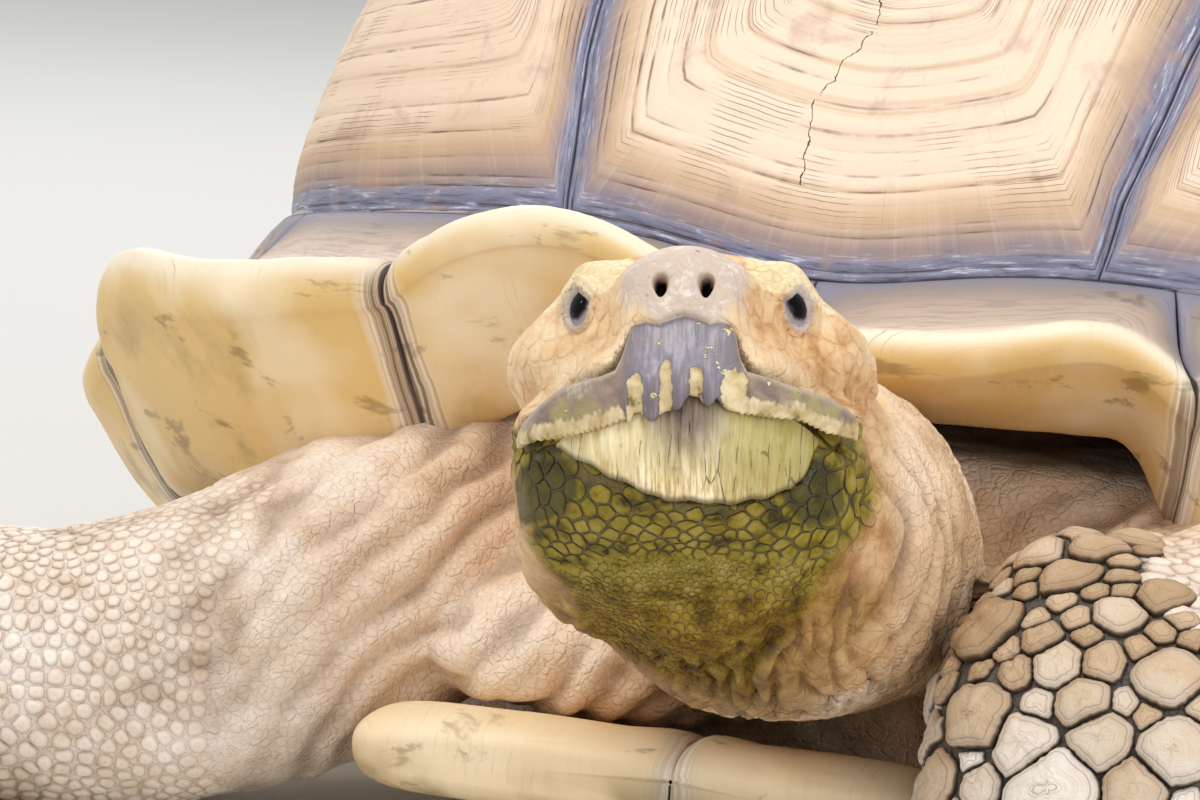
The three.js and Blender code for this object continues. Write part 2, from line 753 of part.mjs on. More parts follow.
function insideRadius(angle, z) {
  const radius = outlineRadius(angle);
  const seam = seamHeight(angle);
  const frontness = smooth((Math.cos(angle) - 0.72) / 0.2);
  const rearness = smooth((-Math.cos(angle) - 0.72) / 0.2);
  if (z > seam - trunk.wallGap) {
    let low = 0;
    let high = 1;
    for (let i = 0; i < 20; i += 1) {
      const middle = (low + high) / 2;
      if (domeHeight(angle, middle) > z + trunk.roofGap) {
        low = middle;
      } else {
        high = middle;
      }
    }
    return Math.max(6, Math.min(radius - trunk.wallGap, radius * low - trunk.roofInset));
  }
  const side = radius - trunk.wallGap - trunk.tuck * smooth((60 - z) / 40);
  const bulge = trunk.frontBulge * Math.sin(Math.PI * clamp((z - 30) / 80, 0, 1));
  return lerp(lerp(side, radius - trunk.frontGap + bulge, frontness), radius - trunk.rearGap, rearness);
}

function trunkSolid() {
  const rings = trunk.levels.map((z) => {
    const ring = [];
    for (let k = 0; k < trunk.points; k += 1) {
      const angle = (2 * Math.PI * k) / trunk.points;
      const folded = angle > Math.PI ? 2 * Math.PI - angle : angle;
      const radius = insideRadius(folded, z);
      ring.push(new THREE.Vector3(radius * Math.sin(angle), shell.centreY - radius * Math.cos(angle), z));
    }
    return ring;
  });
  return toSolid(loft(rings));
}

// Half-outline of the lower shell in plan, as half-widths along its length.
const plastronStations = [
  { y: -262, wide: 78, low: 7, edge: 14 },
  { y: -240, wide: 94, low: 3, edge: 14 },
  { y: -205, wide: 118, low: 0, edge: 15 },
  { y: -160, wide: 140, low: 0, edge: 17 },
  { y: -128, wide: 188, low: 0, edge: 30 },
  { y: -95, wide: 198, low: 0, edge: 41 },
  { y: 0, wide: 200, low: 0, edge: 40 },
  { y: 85, wide: 198, low: 0, edge: 41 },
  { y: 118, wide: 186, low: 0, edge: 30 },
  { y: 150, wide: 138, low: 0, edge: 17 },
  { y: 200, wide: 120, low: 0, edge: 15 },
  { y: 236, wide: 96, low: 1, edge: 14 },
  { y: 250, wide: 80, low: 3, edge: 13 },
];

// The lower shell is notched under the tail.
const tailNotch = { half: 34, depth: 60, y: 258 };

function plastronSolid() {
  const rings = plastronStations.map(({ y, wide, low, edge }) => {
    const flat = Math.min(wide - 12, plastron.flatHalf);
    const half = [
      [flat, low],
      [lerp(flat, wide, 0.55), low + (edge - plastron.thick) * 0.4 + 2],
      [wide, edge - 6],
      [wide - 2, edge],
      [lerp(flat, wide, 0.5), low + plastron.thick + (edge - plastron.thick) * 0.25],
      [flat - 6, low + plastron.thick],
    ];
    const right = half.map(([x, z]) => new THREE.Vector3(-x, y, z)).reverse();
    return [...half.map(([x, z]) => new THREE.Vector3(x, y, z)), ...right];
  });
  const notch = new THREE.ConeGeometry(tailNotch.half, tailNotch.depth, 4);
  notch.scale(0.9, 1, 3).rotateX(Math.PI).translate(0, tailNotch.y, 3 * plastron.thick / 2);
  const wedge = toSolid(notch);
  return toSolid(loft(rings)).subtract(wedge);
}

function gularSolid(fromX, toX) {
  const rings = [];
  const steps = 6;
  for (let i = 0; i <= steps; i += 1) {
    const t = i / steps;
    const y = lerp(plastron.front - 0.6, gular.front, t);
    const round = Math.sqrt(Math.max(0, 1 - (Math.max(0, t - 0.7) / 0.31) ** 2));
    const outer = fromX + (toX - fromX) * lerp(0.9, 1, t) * (0.84 + 0.16 * round);
    const top = lerp(gular.rootTopZ, gular.tipTopZ, smooth(t)) - 7 * (1 - round);
    const thick = lerp(17, gular.tipThick, t) * (0.45 + 0.55 * round);
    const inner = fromX + Math.sign(toX - fromX) * 0.4;
    const soft = Math.sign(toX - fromX) * Math.min(9, thick * 0.4);
    rings.push([
      new THREE.Vector3(inner, y, top),
      new THREE.Vector3(lerp(inner, outer, 0.5), y, top + 1),
      new THREE.Vector3(outer - soft, y, top - 1),
      new THREE.Vector3(outer, y, top - thick * 0.45),
      new THREE.Vector3(outer - soft, y, top - thick * 0.95),
      new THREE.Vector3(inner, y, top - thick),
    ]);
  }
  return loft(rings);
}

function makeSoftParts() {
  const skull = headLoft(skullStations);
  const jaw = headLoft(jawStations);
  const skullGrown = headLoft(skullStations, fleshGap);
  const jawGrown = headLoft(jawStations, fleshGap);
  const upperBeak = beakBand(upperBeakBand);
  const upperRoom = beakBand({
    ...upperBeakBand,
    back: upperBeakBand.back - beakRoom / 2,
    front: upperBeakBand.front + beakRoom,
    side: upperBeakBand.side + beakRoom,
    thick: upperBeakBand.thick + beakRoom + 1,
    sideLow: upperBeakBand.sideLow - beakRoom,
    sideHigh: upperBeakBand.sideHigh + fleshGap,
    frontLow: upperBeakBand.frontLow - beakRoom,
    frontHigh: upperBeakBand.frontHigh + fleshGap,
  });
  const lowerBeak = beakBand(lowerBeakBand);
  const lowerRoom = beakBand({
    ...lowerBeakBand,
    back: lowerBeakBand.back - beakRoom / 2,
    front: lowerBeakBand.front + beakRoom,
    side: lowerBeakBand.side + beakRoom,
    thick: lowerBeakBand.thick + beakRoom + 1,
    sideLow: lowerBeakBand.sideLow - fleshGap,
    sideHigh: lowerBeakBand.sideHigh + beakRoom,
    frontLow: lowerBeakBand.frontLow - fleshGap,
    frontHigh: lowerBeakBand.frontHigh + beakRoom,
  });
  const eyes = { left: eyeBall(1), right: eyeBall(-1) };
  const sockets = eyeBall(1, 0.4).add(eyeBall(-1, 0.4));
  const skullCut = skull.subtract(upperRoom).subtract(sockets);
  const jawCut = jaw.subtract(upperRoom).subtract(lowerRoom).subtract(skullGrown);
  addNode('head', fromSolid(skullCut), colours.head);
  addNode('upper_beak', fromSolid(upperBeak), colours.beak, 0.45);
  addNode('lower_jaw', fromSolid(jawCut), colours.head);
  addNode('lower_beak', fromSolid(lowerBeak), colours.lowerBeak, 0.45);
  addNode('eye_left', fromSolid(eyes.left), colours.eye, 0.1);
  addNode('eye_right', fromSolid(eyes.right), colours.eye, 0.1);

  const headRoom = skullGrown.add(jawGrown);
  const neck = limb(neckStations);
  const neckGrown = limb(neckStations, fleshGap);

  const mirror = (stations) => stations.map((s) => ({
    ...s,
    at: [-s.at[0], s.at[1], s.at[2]],
    up: s.up ? [-s.up[0], s.up[1], s.up[2]] : undefined,
  }));
  const shellSolids = group.children
    .filter((mesh) => /^(vertebral|costal|marginal|supracaudal)/.test(mesh.name))
    .map((mesh) => toSolid(mesh.geometry));
  const shellSum = shellSolids.reduce((sum, solid) => sum.add(solid));
  const shellRoom = shellSum.add(shellSum.translate([0, 0, -fleshGap]));
  const lower = plastronSolid();
  const lowerRoomBody = lower.add(lower.translate([0, 0, fleshGap]));
  const neckCut = neck.subtract(headRoom).subtract(shellRoom);
  addNode('neck', fromSolid(largestPiece(neckCut)), colours.skin);

  const limbs = [
    { name: 'foreleg_right', stations: rightArm, claws: foreClaws([-324, -368, 8], -58) },
    { name: 'foreleg_left', stations: leftArm, claws: foreClaws([120, -402, 8], 0) },
    { name: 'hindleg_left', stations: hindLeg, claws: hindClaws([206, 220, 8], 60) },
    { name: 'hindleg_right', stations: mirror(hindLeg), claws: hindClaws([-206, 220, 8], -60) },
    { name: 'tail', stations: tailStations, claws: [] },
  ];
  let bodyRoom = neckGrown.add(headRoom);
  limbs.forEach(({ name, stations, claws }) => {
    let solid = limb(stations);
    claws.forEach((one) => {
      solid = solid.add(one);
    });
    solid = solid.subtract(floorBlock).subtract(shellRoom).subtract(lowerRoomBody).subtract(bodyRoom);
    addNode(name, fromSolid(largestPiece(solid)), colours.skin);
    bodyRoom = bodyRoom.add(limb(stations, fleshGap));
  });
  const gulars = {
    right: gularSolid(gular.seamX, gular.rightX),
    left: gularSolid(gular.seamX, gular.leftX),
  };
  const gularRoom = toSolid(gulars.right).add(toSolid(gulars.left)).translate([0, 0, fleshGap]);
  const body = trunkSolid().add(limb(chestStations)).subtract(bodyRoom).subtract(shellRoom);
  const bodyCut = body.subtract(lowerRoomBody).subtract(gularRoom);
  addNode('trunk', fromSolid(largestPiece(bodyCut)), colours.skin);
  addNode('plastron', fromSolid(lower), colours.under);
  addNode('gular_right', gulars.right, colours.rim);
  addNode('gular_left', gulars.left, colours.rim);
}

function largestPiece(solid) {
  return solid.decompose().sort((a, b) => b.volume() - a.volume())[0];
}

// Five blunt claws in an arc at the end of a forefoot, four on a hind foot.
function clawFan(at, heading, count, spread, width, length, radius) {
  const claws = [];
  for (let i = 0; i < count; i += 1) {
    const t = (2 * i) / (count - 1) - 1;
    const turn = heading + t * spread;
    const across = deg(heading);
    const x = at[0] + Math.cos(across) * t * width;
    const y = at[1] + Math.sin(across) * t * width + Math.abs(t) * 6 * Math.cos(across);
    claws.push(claw([x, y, at[2]], turn, length, radius));
  }
  return claws;
}

function foreClaws(at, heading) {
  return clawFan(at, heading, 5, 20, 31, 26, 8);
}

function hindClaws(at, heading) {
  return clawFan(at, heading, 4, 22, 24, 25, 8.5);
}

makeDomePlates();
makeRimPlates();
makeSoftParts();

export default group;
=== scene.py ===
import math
import bmesh
import bpy
import numpy as np
from mathutils import Matrix, Vector
from mathutils.kdtree import KDTree


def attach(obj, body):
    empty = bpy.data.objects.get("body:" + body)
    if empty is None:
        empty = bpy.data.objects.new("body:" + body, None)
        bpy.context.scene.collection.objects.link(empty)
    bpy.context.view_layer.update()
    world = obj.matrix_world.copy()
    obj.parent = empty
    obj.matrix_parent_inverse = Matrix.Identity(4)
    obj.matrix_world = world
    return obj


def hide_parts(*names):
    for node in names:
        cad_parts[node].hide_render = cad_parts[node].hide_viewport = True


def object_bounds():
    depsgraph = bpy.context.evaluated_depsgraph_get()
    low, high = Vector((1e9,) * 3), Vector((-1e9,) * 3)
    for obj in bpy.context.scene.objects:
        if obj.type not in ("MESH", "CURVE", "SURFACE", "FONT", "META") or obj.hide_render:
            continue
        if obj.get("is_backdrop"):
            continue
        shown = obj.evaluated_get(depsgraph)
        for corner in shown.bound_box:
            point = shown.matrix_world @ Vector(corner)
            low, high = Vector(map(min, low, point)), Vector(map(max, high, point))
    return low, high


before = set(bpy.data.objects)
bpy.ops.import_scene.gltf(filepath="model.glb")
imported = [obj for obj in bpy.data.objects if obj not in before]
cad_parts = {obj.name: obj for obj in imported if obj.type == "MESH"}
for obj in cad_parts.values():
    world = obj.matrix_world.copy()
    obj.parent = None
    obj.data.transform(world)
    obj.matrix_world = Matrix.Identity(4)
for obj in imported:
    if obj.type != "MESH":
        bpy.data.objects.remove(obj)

mm = 0.001                      # shapes are worked out in millimetres, as in the solids
lowest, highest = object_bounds()
sides = ((1, "left"), (-1, "right"))


# small helpers

def lerp(a, b, t):
    return a + (b - a) * t


def smooth(t):
    t = np.clip(t, 0, 1)
    return t * t * (3 - 2 * t)


def bell(distance, width):
    return np.exp(-(distance / width) ** 2)


def unit(vectors):
    vectors = np.asarray(vectors, float)
    return vectors / np.maximum(np.linalg.norm(vectors, axis=-1, keepdims=True), 1e-12)


def lengths(rows):
    return np.linalg.norm(rows, axis=1)


def blob(points, centre, width, shape=(1, 1, 1)):
    # a soft ball of influence round a place
    return bell(lengths((points - centre) / shape), width)


def ridged(wave):
    # 0 at whole numbers, 1 half way between them
    return 1 - 2 * np.abs(wave % 1 - 0.5)


def noiseAt(points, size, seed=0):
    # smooth value noise in -1..1 with features about `size` across
    place = np.asarray(points, float) / size + seed * 17.31
    cell = np.floor(place).astype(np.int64)
    t = place - cell
    t = t * t * (3 - 2 * t)
    total = np.zeros(len(place))
    for corner in range(8):
        step = np.array([corner & 1, corner >> 1 & 1, corner >> 2 & 1])
        c = cell + step
        h = (c[:, 0] * 73856093 ^ c[:, 1] * 19349663 ^ c[:, 2] * 83492791) & 0xFFFFFFFF
        h = ((h ^ (h >> 13)) * 1274126177) & 0xFFFFFFFF
        value = ((h ^ (h >> 16)) & 0xFFFF) / 32767.5 - 1
        total += value * np.prod(np.where(step, t, 1 - t), axis=1)
    return total


def splineThrough(values, count, closed=False):
    # Catmull-Rom curve through rows of numbers, `count` samples from the first to the last
    rows = np.asarray(values, float)
    n = len(rows)
    spans = n if closed else n - 1
    t = np.linspace(0, spans, count, endpoint=not closed)
    i = np.minimum(t.astype(int), spans - 1)
    f = (t - i)[:, None]
    pick = (lambda k: rows[k % n]) if closed else (lambda k: rows[np.clip(k, 0, n - 1)])
    a, b, c, d = pick(i - 1), pick(i), pick(i + 1), pick(i + 2)
    return 0.5 * (2 * b + (c - a) * f + (2 * a - 5 * b + 4 * c - d) * f ** 2 + (3 * b - a - 3 * c + d) * f ** 3)


def gridFaces(rows, columns, closedRows=False, closedColumns=False):
    r = np.arange(rows if closedRows else rows - 1)
    c = np.arange(columns if closedColumns else columns - 1)
    r, c = [x.ravel() for x in np.meshgrid(r, c, indexing="ij")]
    r2, c2 = (r + 1) % rows, (c + 1) % columns
    return np.stack([r * columns + c, r * columns + c2, r2 * columns + c2, r2 * columns + c], 1)


def fanFaces(ring, middle, flip=False):
    ring = np.asarray(ring)
    after = np.roll(ring, -1)
    faces = np.stack([ring, after, np.full(len(ring), middle)], 1)
    return faces[:, ::-1] if flip else faces


def setMasks(mesh, masks):
    for name, values in masks.items():
        mesh.attributes.new(name, "FLOAT", "POINT").data.foreach_set("value", np.asarray(values, np.float32))


def meshFrom(name, points, faceSets, masks=None):
    mesh = bpy.data.meshes.new(name)
    loops = np.concatenate([f.ravel() for f in faceSets]).astype(np.int32)
    sizes = np.concatenate([np.full(len(f), f.shape[1]) for f in faceSets])
    starts = np.concatenate([[0], np.cumsum(sizes)[:-1]]).astype(np.int32)
    mesh.vertices.add(len(points))
    mesh.vertices.foreach_set("co", (np.asarray(points) * mm).ravel().astype(np.float32))
    mesh.loops.add(len(loops))
    mesh.loops.foreach_set("vertex_index", loops)
    mesh.polygons.add(len(sizes))
    mesh.polygons.foreach_set("loop_start", starts)
    mesh.update(calc_edges=True)
    mesh.shade_smooth()
    setMasks(mesh, masks or {})
    return mesh


def turnOutward(points, faceSets):
    volume = 0
    for faces in faceSets:
        for k in range(1, faces.shape[1] - 1):
            a, b, c = points[faces[:, 0]], points[faces[:, k]], points[faces[:, k + 1]]
            volume += np.einsum("ij,ij->", a, np.cross(b, c))
    return faceSets if volume > 0 else [f[:, ::-1] for f in faceSets]


def loftFrom(rings):
    rings = np.asarray(rings)
    rows, count = rings.shape[:2]
    points = np.concatenate([rings.reshape(-1, 3), rings[0].mean(0)[None], rings[-1].mean(0)[None]])
    ends = np.concatenate([fanFaces(np.arange(count), rows * count, flip=True),
                           fanFaces((rows - 1) * count + np.arange(count), rows * count + 1)])
    return points, turnOutward(points, [gridFaces(rows, count, closedColumns=True), ends])


def placed(name, data):
    thing = bpy.data.objects.new(name, data)
    bpy.context.scene.collection.objects.link(thing)
    return thing


def addPiece(name, mesh, material, nodes=()):
    piece = placed(name, mesh)
    mesh.materials.append(material)
    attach(piece, "root")
    if nodes:
        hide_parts(*nodes)
    return piece


# shader helpers

def tint(code):
    parts = [int(code[i:i + 2], 16) / 255 for i in (1, 3, 5)]
    return tuple(p / 12.92 if p <= 0.04045 else ((p + 0.055) / 1.055) ** 2.4 for p in parts) + (1.0,)


class Signal:
    # what comes out of a shader node, ready to be used in sums
    def __init__(self, tree, socket):
        self.tree, self.socket = tree, socket

    def __add__(self, other):
        return maths("ADD", self, other)

    def __sub__(self, other):
        return maths("SUBTRACT", self, other)

    def __rsub__(self, other):
        return maths("SUBTRACT", other, self)

    def __mul__(self, other):
        return maths("MULTIPLY", self, other)

    def __abs__(self):
        return maths("ABSOLUTE", self)


class Inputs:
    # a node's inputs, which take numbers, colour codes and signals
    def __init__(self, tree, sockets):
        self.tree, self.sockets = tree, sockets

    def __setitem__(self, key, value):
        if isinstance(value, Signal):
            self.tree.links.new(value.socket, self.sockets[key])
        else:
            self.sockets[key].default_value = tint(value) if isinstance(value, str) else value


def put(kind, values, tree=None, out=0, **settings):
    # adds a node to the tree, or to that of its values, and gives one of its outputs
    tree = tree or next(v.tree for v in values.values() if isinstance(v, Signal))
    node = tree.nodes.new("ShaderNode" + kind)
    for key, value in settings.items():
        setattr(node, key, value)
    inputs = Inputs(tree, node.inputs)
    for key, value in values.items():
        inputs[key] = value
    return Signal(tree, node.outputs[out])


def maths(operation, a, b=0.0, clamp=False):
    return put("Math", {0: a, 1: b}, operation=operation, use_clamp=clamp)


def mask(tree, name):
    return put("Attribute", {}, tree, "Fac", attribute_name=name)


def objectPlace(tree):
    return put("TexCoord", {}, tree, "Object")


def blend(factor, a, b, mode="MIX"):
    return put("Mix", {0: factor, 6: a, 7: b}, out=2, data_type="RGBA", blend_type=mode)


def spread(value, low, high, outLow=0.0, outHigh=1.0):
    return put("MapRange", {0: value, 1: low, 2: high, 3: outLow, 4: outHigh}, interpolation_type="SMOOTHSTEP")


def ramp(value, stops, look={}):
    # a run of colours, given as codes or as their names in the look
    colour = put("ValToRGB", {0: value})
    elements = colour.socket.node.color_ramp.elements
    while len(elements) < len(stops):
        elements.new(0.5)
    for element, (at, code) in zip(elements, stops):
        element.position, element.color = at, tint(look.get(code, code))
    return colour


def speckle(vector, scale, detail=4.0, roughness=0.55, distortion=0.0):
    values = {"Vector": vector, "Scale": scale, "Detail": detail, "Roughness": roughness, "Distortion": distortion}
    return put("TexNoise", values)


def speckleAlong(run, scale):
    # noise along a running number
    return put("TexNoise", {"W": run, "Scale": scale, "Detail": 2.0}, noise_dimensions="1D")


def cellEdges(vector, scale):
    return put("TexVoronoi", {"Vector": vector, "Scale": scale}, out="Distance", feature="DISTANCE_TO_EDGE")


def vectorOf(x, y, z=0.0):
    return put("CombineXYZ", {0: x, 1: y, 2: z})


def stretched(vector, scale):
    return put("Mapping", {"Vector": vector, "Scale": scale})


def bump(height, distance):
    return put("Bump", {"Height": height, "Distance": distance * mm, "Strength": 1.0})


def nodeGroup(name, inputs, outputs):
    tree = bpy.data.node_groups.new(name, "ShaderNodeTree")
    for title, kind, value in inputs:
        socket = tree.interface.new_socket(title, in_out="INPUT", socket_type="NodeSocket" + kind)
        if value is not None:
            socket.default_value = value
    for title, kind in outputs:
        tree.interface.new_socket(title, in_out="OUTPUT", socket_type="NodeSocket" + kind)
    entry, exit = tree.nodes.new("NodeGroupInput"), tree.nodes.new("NodeGroupOutput")
    return tree, {title: Signal(tree, entry.outputs[title]) for title, _, _ in inputs}, Inputs(tree, exit.inputs)


def useGroup(group, values):
    first = put("Group", values, node_tree=group)
    return {output.name: Signal(first.tree, output) for output in first.socket.node.outputs}


def newMaterial(name, roughness=0.5, ior=1.5):
    material = bpy.data.materials.new(name)
    material.use_nodes = True
    tree = material.node_tree
    shader = Inputs(tree, tree.nodes["Principled BSDF"].inputs)
    shader["Roughness"], shader["IOR"] = roughness, ior
    return material, tree, shader


# shared shader effects

def makeGrainGroup():
    # fine surface grain: a height made of two sizes of noise
    tree, given, out = nodeGroup("surfaceGrain", [
        ("Vector", "Vector", None), ("Scale", "Float", 300.0), ("Coarse", "Float", 0.5)], [("Height", "Float")])
    fine = speckle(given["Vector"], given["Scale"], 3.0)
    coarse = speckle(given["Vector"], given["Scale"] * 0.22, 3.0)
    out["Height"] = put("Mix", {0: given["Coarse"], 2: fine, 3: coarse})
    return tree


def makeStainGroup():
    # lays a stain colour over a base colour in soft-edged, broken patches
    tree, given, out = nodeGroup("brokenStain", [
        ("Color", "Color", (1, 1, 1, 1)), ("Stain", "Color", (0.2, 0.1, 0.05, 1)), ("Vector", "Vector", None),
        ("Scale", "Float", 30.0), ("Threshold", "Float", 0.55), ("Softness", "Float", 0.12),
        ("Amount", "Float", 0.8)], [("Color", "Color"), ("Mask", "Float")])
    cloud = speckle(given["Vector"], given["Scale"], 4.0, 0.62, 0.4)
    high = given["Threshold"] + given["Softness"]
    patch = maths("MULTIPLY", spread(cloud, given["Threshold"], high), given["Amount"], clamp=True)
    out["Color"] = blend(patch, given["Color"], given["Stain"])
    out["Mask"] = patch
    return tree


def makeHairlineGroup():
    # thin irregular lines across a running number, such as a distance: mask 1 on a line
    tree, given, out = nodeGroup("growthHairlines", [
        ("Along", "Float", 0.0), ("Density", "Float", 1.0), ("Width", "Float", 0.12), ("Vector", "Vector", None),
        ("Break", "Float", 0.5)], [("Mask", "Float")])
    wobble = speckle(given["Vector"], 120.0, 3.0)
    run = given["Along"] * given["Density"] + wobble * 0.5
    cells = put("TexVoronoi", {"W": run, "Scale": 1.0}, out="Distance", voronoi_dimensions="1D",
        feature="DISTANCE_TO_EDGE")
    line = spread(cells, 0.0, given["Width"], 1.0, 0.0)
    patch = speckle(given["Vector"], 45.0, 3.0)
    gate = spread(patch, given["Break"] - 0.08, given["Break"] + 0.08)
    out["Mask"] = line * gate
    return tree


grainGroup = makeGrainGroup()
stainGroup = makeStainGroup()
hairlineGroup = makeHairlineGroup()


def grainAt(place, scale, coarse=0.5):
    return useGroup(grainGroup, {"Vector": place, "Scale": scale, "Coarse": coarse})["Height"]


def stained(base, stain, place, scale, threshold, softness, amount):
    return useGroup(stainGroup, {"Color": base, "Stain": stain, "Vector": place, "Scale": scale,
        "Threshold": threshold, "Softness": softness, "Amount": amount})["Color"]


def hairlines(along, density, width, place, gaps):
    return useGroup(hairlineGroup, {"Along": along, "Density": density, "Width": width, "Vector": place,
        "Break": gaps})["Mask"]


# camera, light and floor

view = {
    "aim": (25, -425, 132), "aimRight": -21.4, "aimUp": 5.5,
    "side": 20, "down": 8, "roll": 4, "distance": 1520, "focalPixels": 6536, "pictureWidth": 1200,
}
lights = {
    "world": 0.79, "worldColour": "#e9edf2",
    "key": {"from": (-0.25, -0.95, 1.9), "size": 1.1, "power": 15, "colour": "#fff6ea"},
    "fill": {"from": (1.5, -1.3, 0.7), "size": 1.4, "power": 12, "colour": "#f6f6fa"},
    "back": {"from": (-0.9, 1.3, 1.4), "size": 1.2, "power": 13, "colour": "#ffffff"},
    "catch": {"from": (-1.15, -0.84, 0.83), "size": 0.2, "power": 2.2, "colour": "#f4f8ff"},
}
floorLook = {"colour": "#dcd9d3", "reach": 9.0}


def cameraAxes():
    a, e, r = [math.radians(view[k]) for k in ("side", "down", "roll")]
    right = Vector((math.cos(a), math.sin(a), 0))
    ahead = Vector((-math.sin(a) * math.cos(e), math.cos(a) * math.cos(e), -math.sin(e)))
    up = Vector((-math.sin(a) * math.sin(e), math.cos(a) * math.sin(e), math.cos(e)))
    place = Vector(view["aim"]) + right * view["aimRight"] + up * view["aimUp"] - ahead * view["distance"]
    across = right * math.cos(r) + up * math.sin(r)
    upright = up * math.cos(r) - right * math.sin(r)
    return place * mm, across, upright, ahead


def makeCamera():
    place, across, upright, ahead = cameraAxes()
    lens = bpy.data.cameras.new("camera")
    lens.sensor_width = 36
    lens.lens = view["focalPixels"] / view["pictureWidth"] * lens.sensor_width
    lens.clip_start, lens.clip_end = 0.05, 30
    camera = placed("camera", lens)
    camera.matrix_world = Matrix.Translation(place) @ Matrix((across, upright, -ahead)).transposed().to_4x4()
    bpy.context.scene.camera = camera


def makeLights():
    target = Vector(((lowest.x + highest.x) / 2, lowest.y * 0.6, 0.1))
    for name in ("key", "fill", "back", "catch"):
        facts = lights[name]
        lamp = bpy.data.lights.new(name, "AREA")
        lamp.shape = "DISK"
        lamp.size = facts["size"]
        lamp.energy = facts["power"]
        lamp.color = tint(facts["colour"])[:3]
        holder = placed(name, lamp)
        holder.location = facts["from"]
        holder.rotation_euler = (target - holder.location).to_track_quat("-Z", "Y").to_euler()
    world = bpy.data.worlds.new("softRoom")
    world.use_nodes = True
    background = Inputs(world.node_tree, world.node_tree.nodes["Background"].inputs)
    background["Color"], background["Strength"] = lights["worldColour"], lights["world"]
    bpy.context.scene.world = world
    bpy.context.scene.view_settings.view_transform = "Standard"


def makeFloor():
    material, tree, shader = newMaterial("floorPaint", roughness=0.7)
    cloud = speckle(objectPlace(tree), 3.0, 3.5)
    pale = tint(floorLook["colour"])
    darker = tuple(c * 0.94 for c in pale[:3]) + (1,)
    shader["Base Color"] = blend(cloud, pale, darker)
    reach = floorLook["reach"] / mm
    corners = np.array([(x, y, 0) for y in (-reach, reach) for x in (-reach, reach)])
    floor = placed("floor", meshFrom("floor", corners, [np.array([[0, 1, 3, 2]])]))
    floor.data.materials.append(material)
    floor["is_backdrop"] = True


print("camera, lights and floor")
makeCamera()
makeLights()
makeFloor()


# dome of the shell

shell = {
    "halfWidth": 214, "frontReach": 262, "rearReach": 280, "outlinePower": 2.75, "topZ": 278,
    "frontSeamZ": 161, "frontSeamDip": 11, "dipAngle": 0.18, "sideSeamZ": 107, "rearSeamZ": 114,
}


def outlineRadius(angle):
    reach = np.where(np.cos(angle) > 0, shell["frontReach"], shell["rearReach"])
    power = shell["outlinePower"]
    total = (np.abs(np.sin(angle)) / shell["halfWidth"]) ** power + (np.abs(np.cos(angle)) / reach) ** power
    return total ** (-1 / power)


def seamHeight(angle):
    c = np.cos(angle)
    turned = np.arctan2(np.sin(angle), c)
    dip = shell["frontSeamDip"] * bell(turned, shell["dipAngle"])
    front = lerp(shell["sideSeamZ"], shell["frontSeamZ"], np.maximum(c, 0) ** 1.35) - dip
    rear = lerp(shell["sideSeamZ"], shell["rearSeamZ"], c * c)
    return np.where(c > 0, front, rear)


def domeHeight(angle, fraction):
    boxy = np.abs(np.sin(angle))
    power = 2.5 + 1.3 * boxy
    cut = 0.93 + 0.055 * boxy
    base = np.sqrt(1 - cut ** power)
    rise = (np.sqrt(np.maximum(0, 1 - (cut * fraction) ** power)) - base) / (1 - base)
    return lerp(seamHeight(angle), shell["topZ"], rise)


# share of the arc from the top to the seam, tabled over direction and plan fraction
tableAngles = np.radians(np.arange(-180, 181, 1.0))
tableFractions = np.sin(np.linspace(0, np.pi / 2, 97))
heights = domeHeight(tableAngles[:, None], tableFractions[None, :])
runs = outlineRadius(tableAngles)[:, None] * np.diff(tableFractions)[None, :]
arcTable = np.concatenate([np.zeros((len(tableAngles), 1)), np.cumsum(np.hypot(runs, np.diff(heights, axis=1)), 1)],
    1)
arcTable /= arcTable[:, -1:]
evenShares = np.linspace(0, 1, 193)
fractionTable = np.stack([np.interp(evenShares, row, tableFractions) for row in arcTable])


def domePoint(chart):
    # chart: rows of (x, y) in a unit disc, direction from the front, length as share of the arc
    chart = np.asarray(chart, float)
    angle = np.arctan2(chart[:, 0], -chart[:, 1])
    share = np.minimum(np.hypot(chart[:, 0], chart[:, 1]), 1)
    a = (np.degrees(angle) + 180)
    i = np.clip(a.astype(int), 0, 359)
    s = share * 192
    j = np.clip(s.astype(int), 0, 191)
    u, v = a - i, s - j
    fraction = lerp(lerp(fractionTable[i, j], fractionTable[i, j + 1], v),
                    lerp(fractionTable[i + 1, j], fractionTable[i + 1, j + 1], v), u)
    radius = fraction * outlineRadius(angle)
    return np.stack([radius * np.sin(angle), -radius * np.cos(angle), domeHeight(angle, fraction)], 1)


def domeNormal(chart):
    chart = np.asarray(chart, float)
    step = 0.012
    length = np.hypot(chart[:, 0], chart[:, 1])[:, None]
    inner = np.where(length > 1 - step, chart / np.maximum(length, 1e-9) * (1 - step), chart)
    alongX = domePoint(inner + [step, 0]) - domePoint(inner - [step, 0])
    alongY = domePoint(inner + [0, step]) - domePoint(inner - [0, step])
    return unit(np.cross(alongX, alongY))


def chartFromPlan(x, y):
    angle = math.atan2(x, -y)
    fraction = math.hypot(x, y) / float(outlineRadius(np.array(angle)))
    row = int(round(math.degrees(angle) + 180))
    share = float(np.interp(fraction, tableFractions, arcTable[row]))
    return np.array([share * math.sin(angle), -share * math.cos(angle)])


def chartAtSeam(degrees):
    return np.array([math.sin(math.radians(degrees)), -math.cos(math.radians(degrees))])


# dome plates

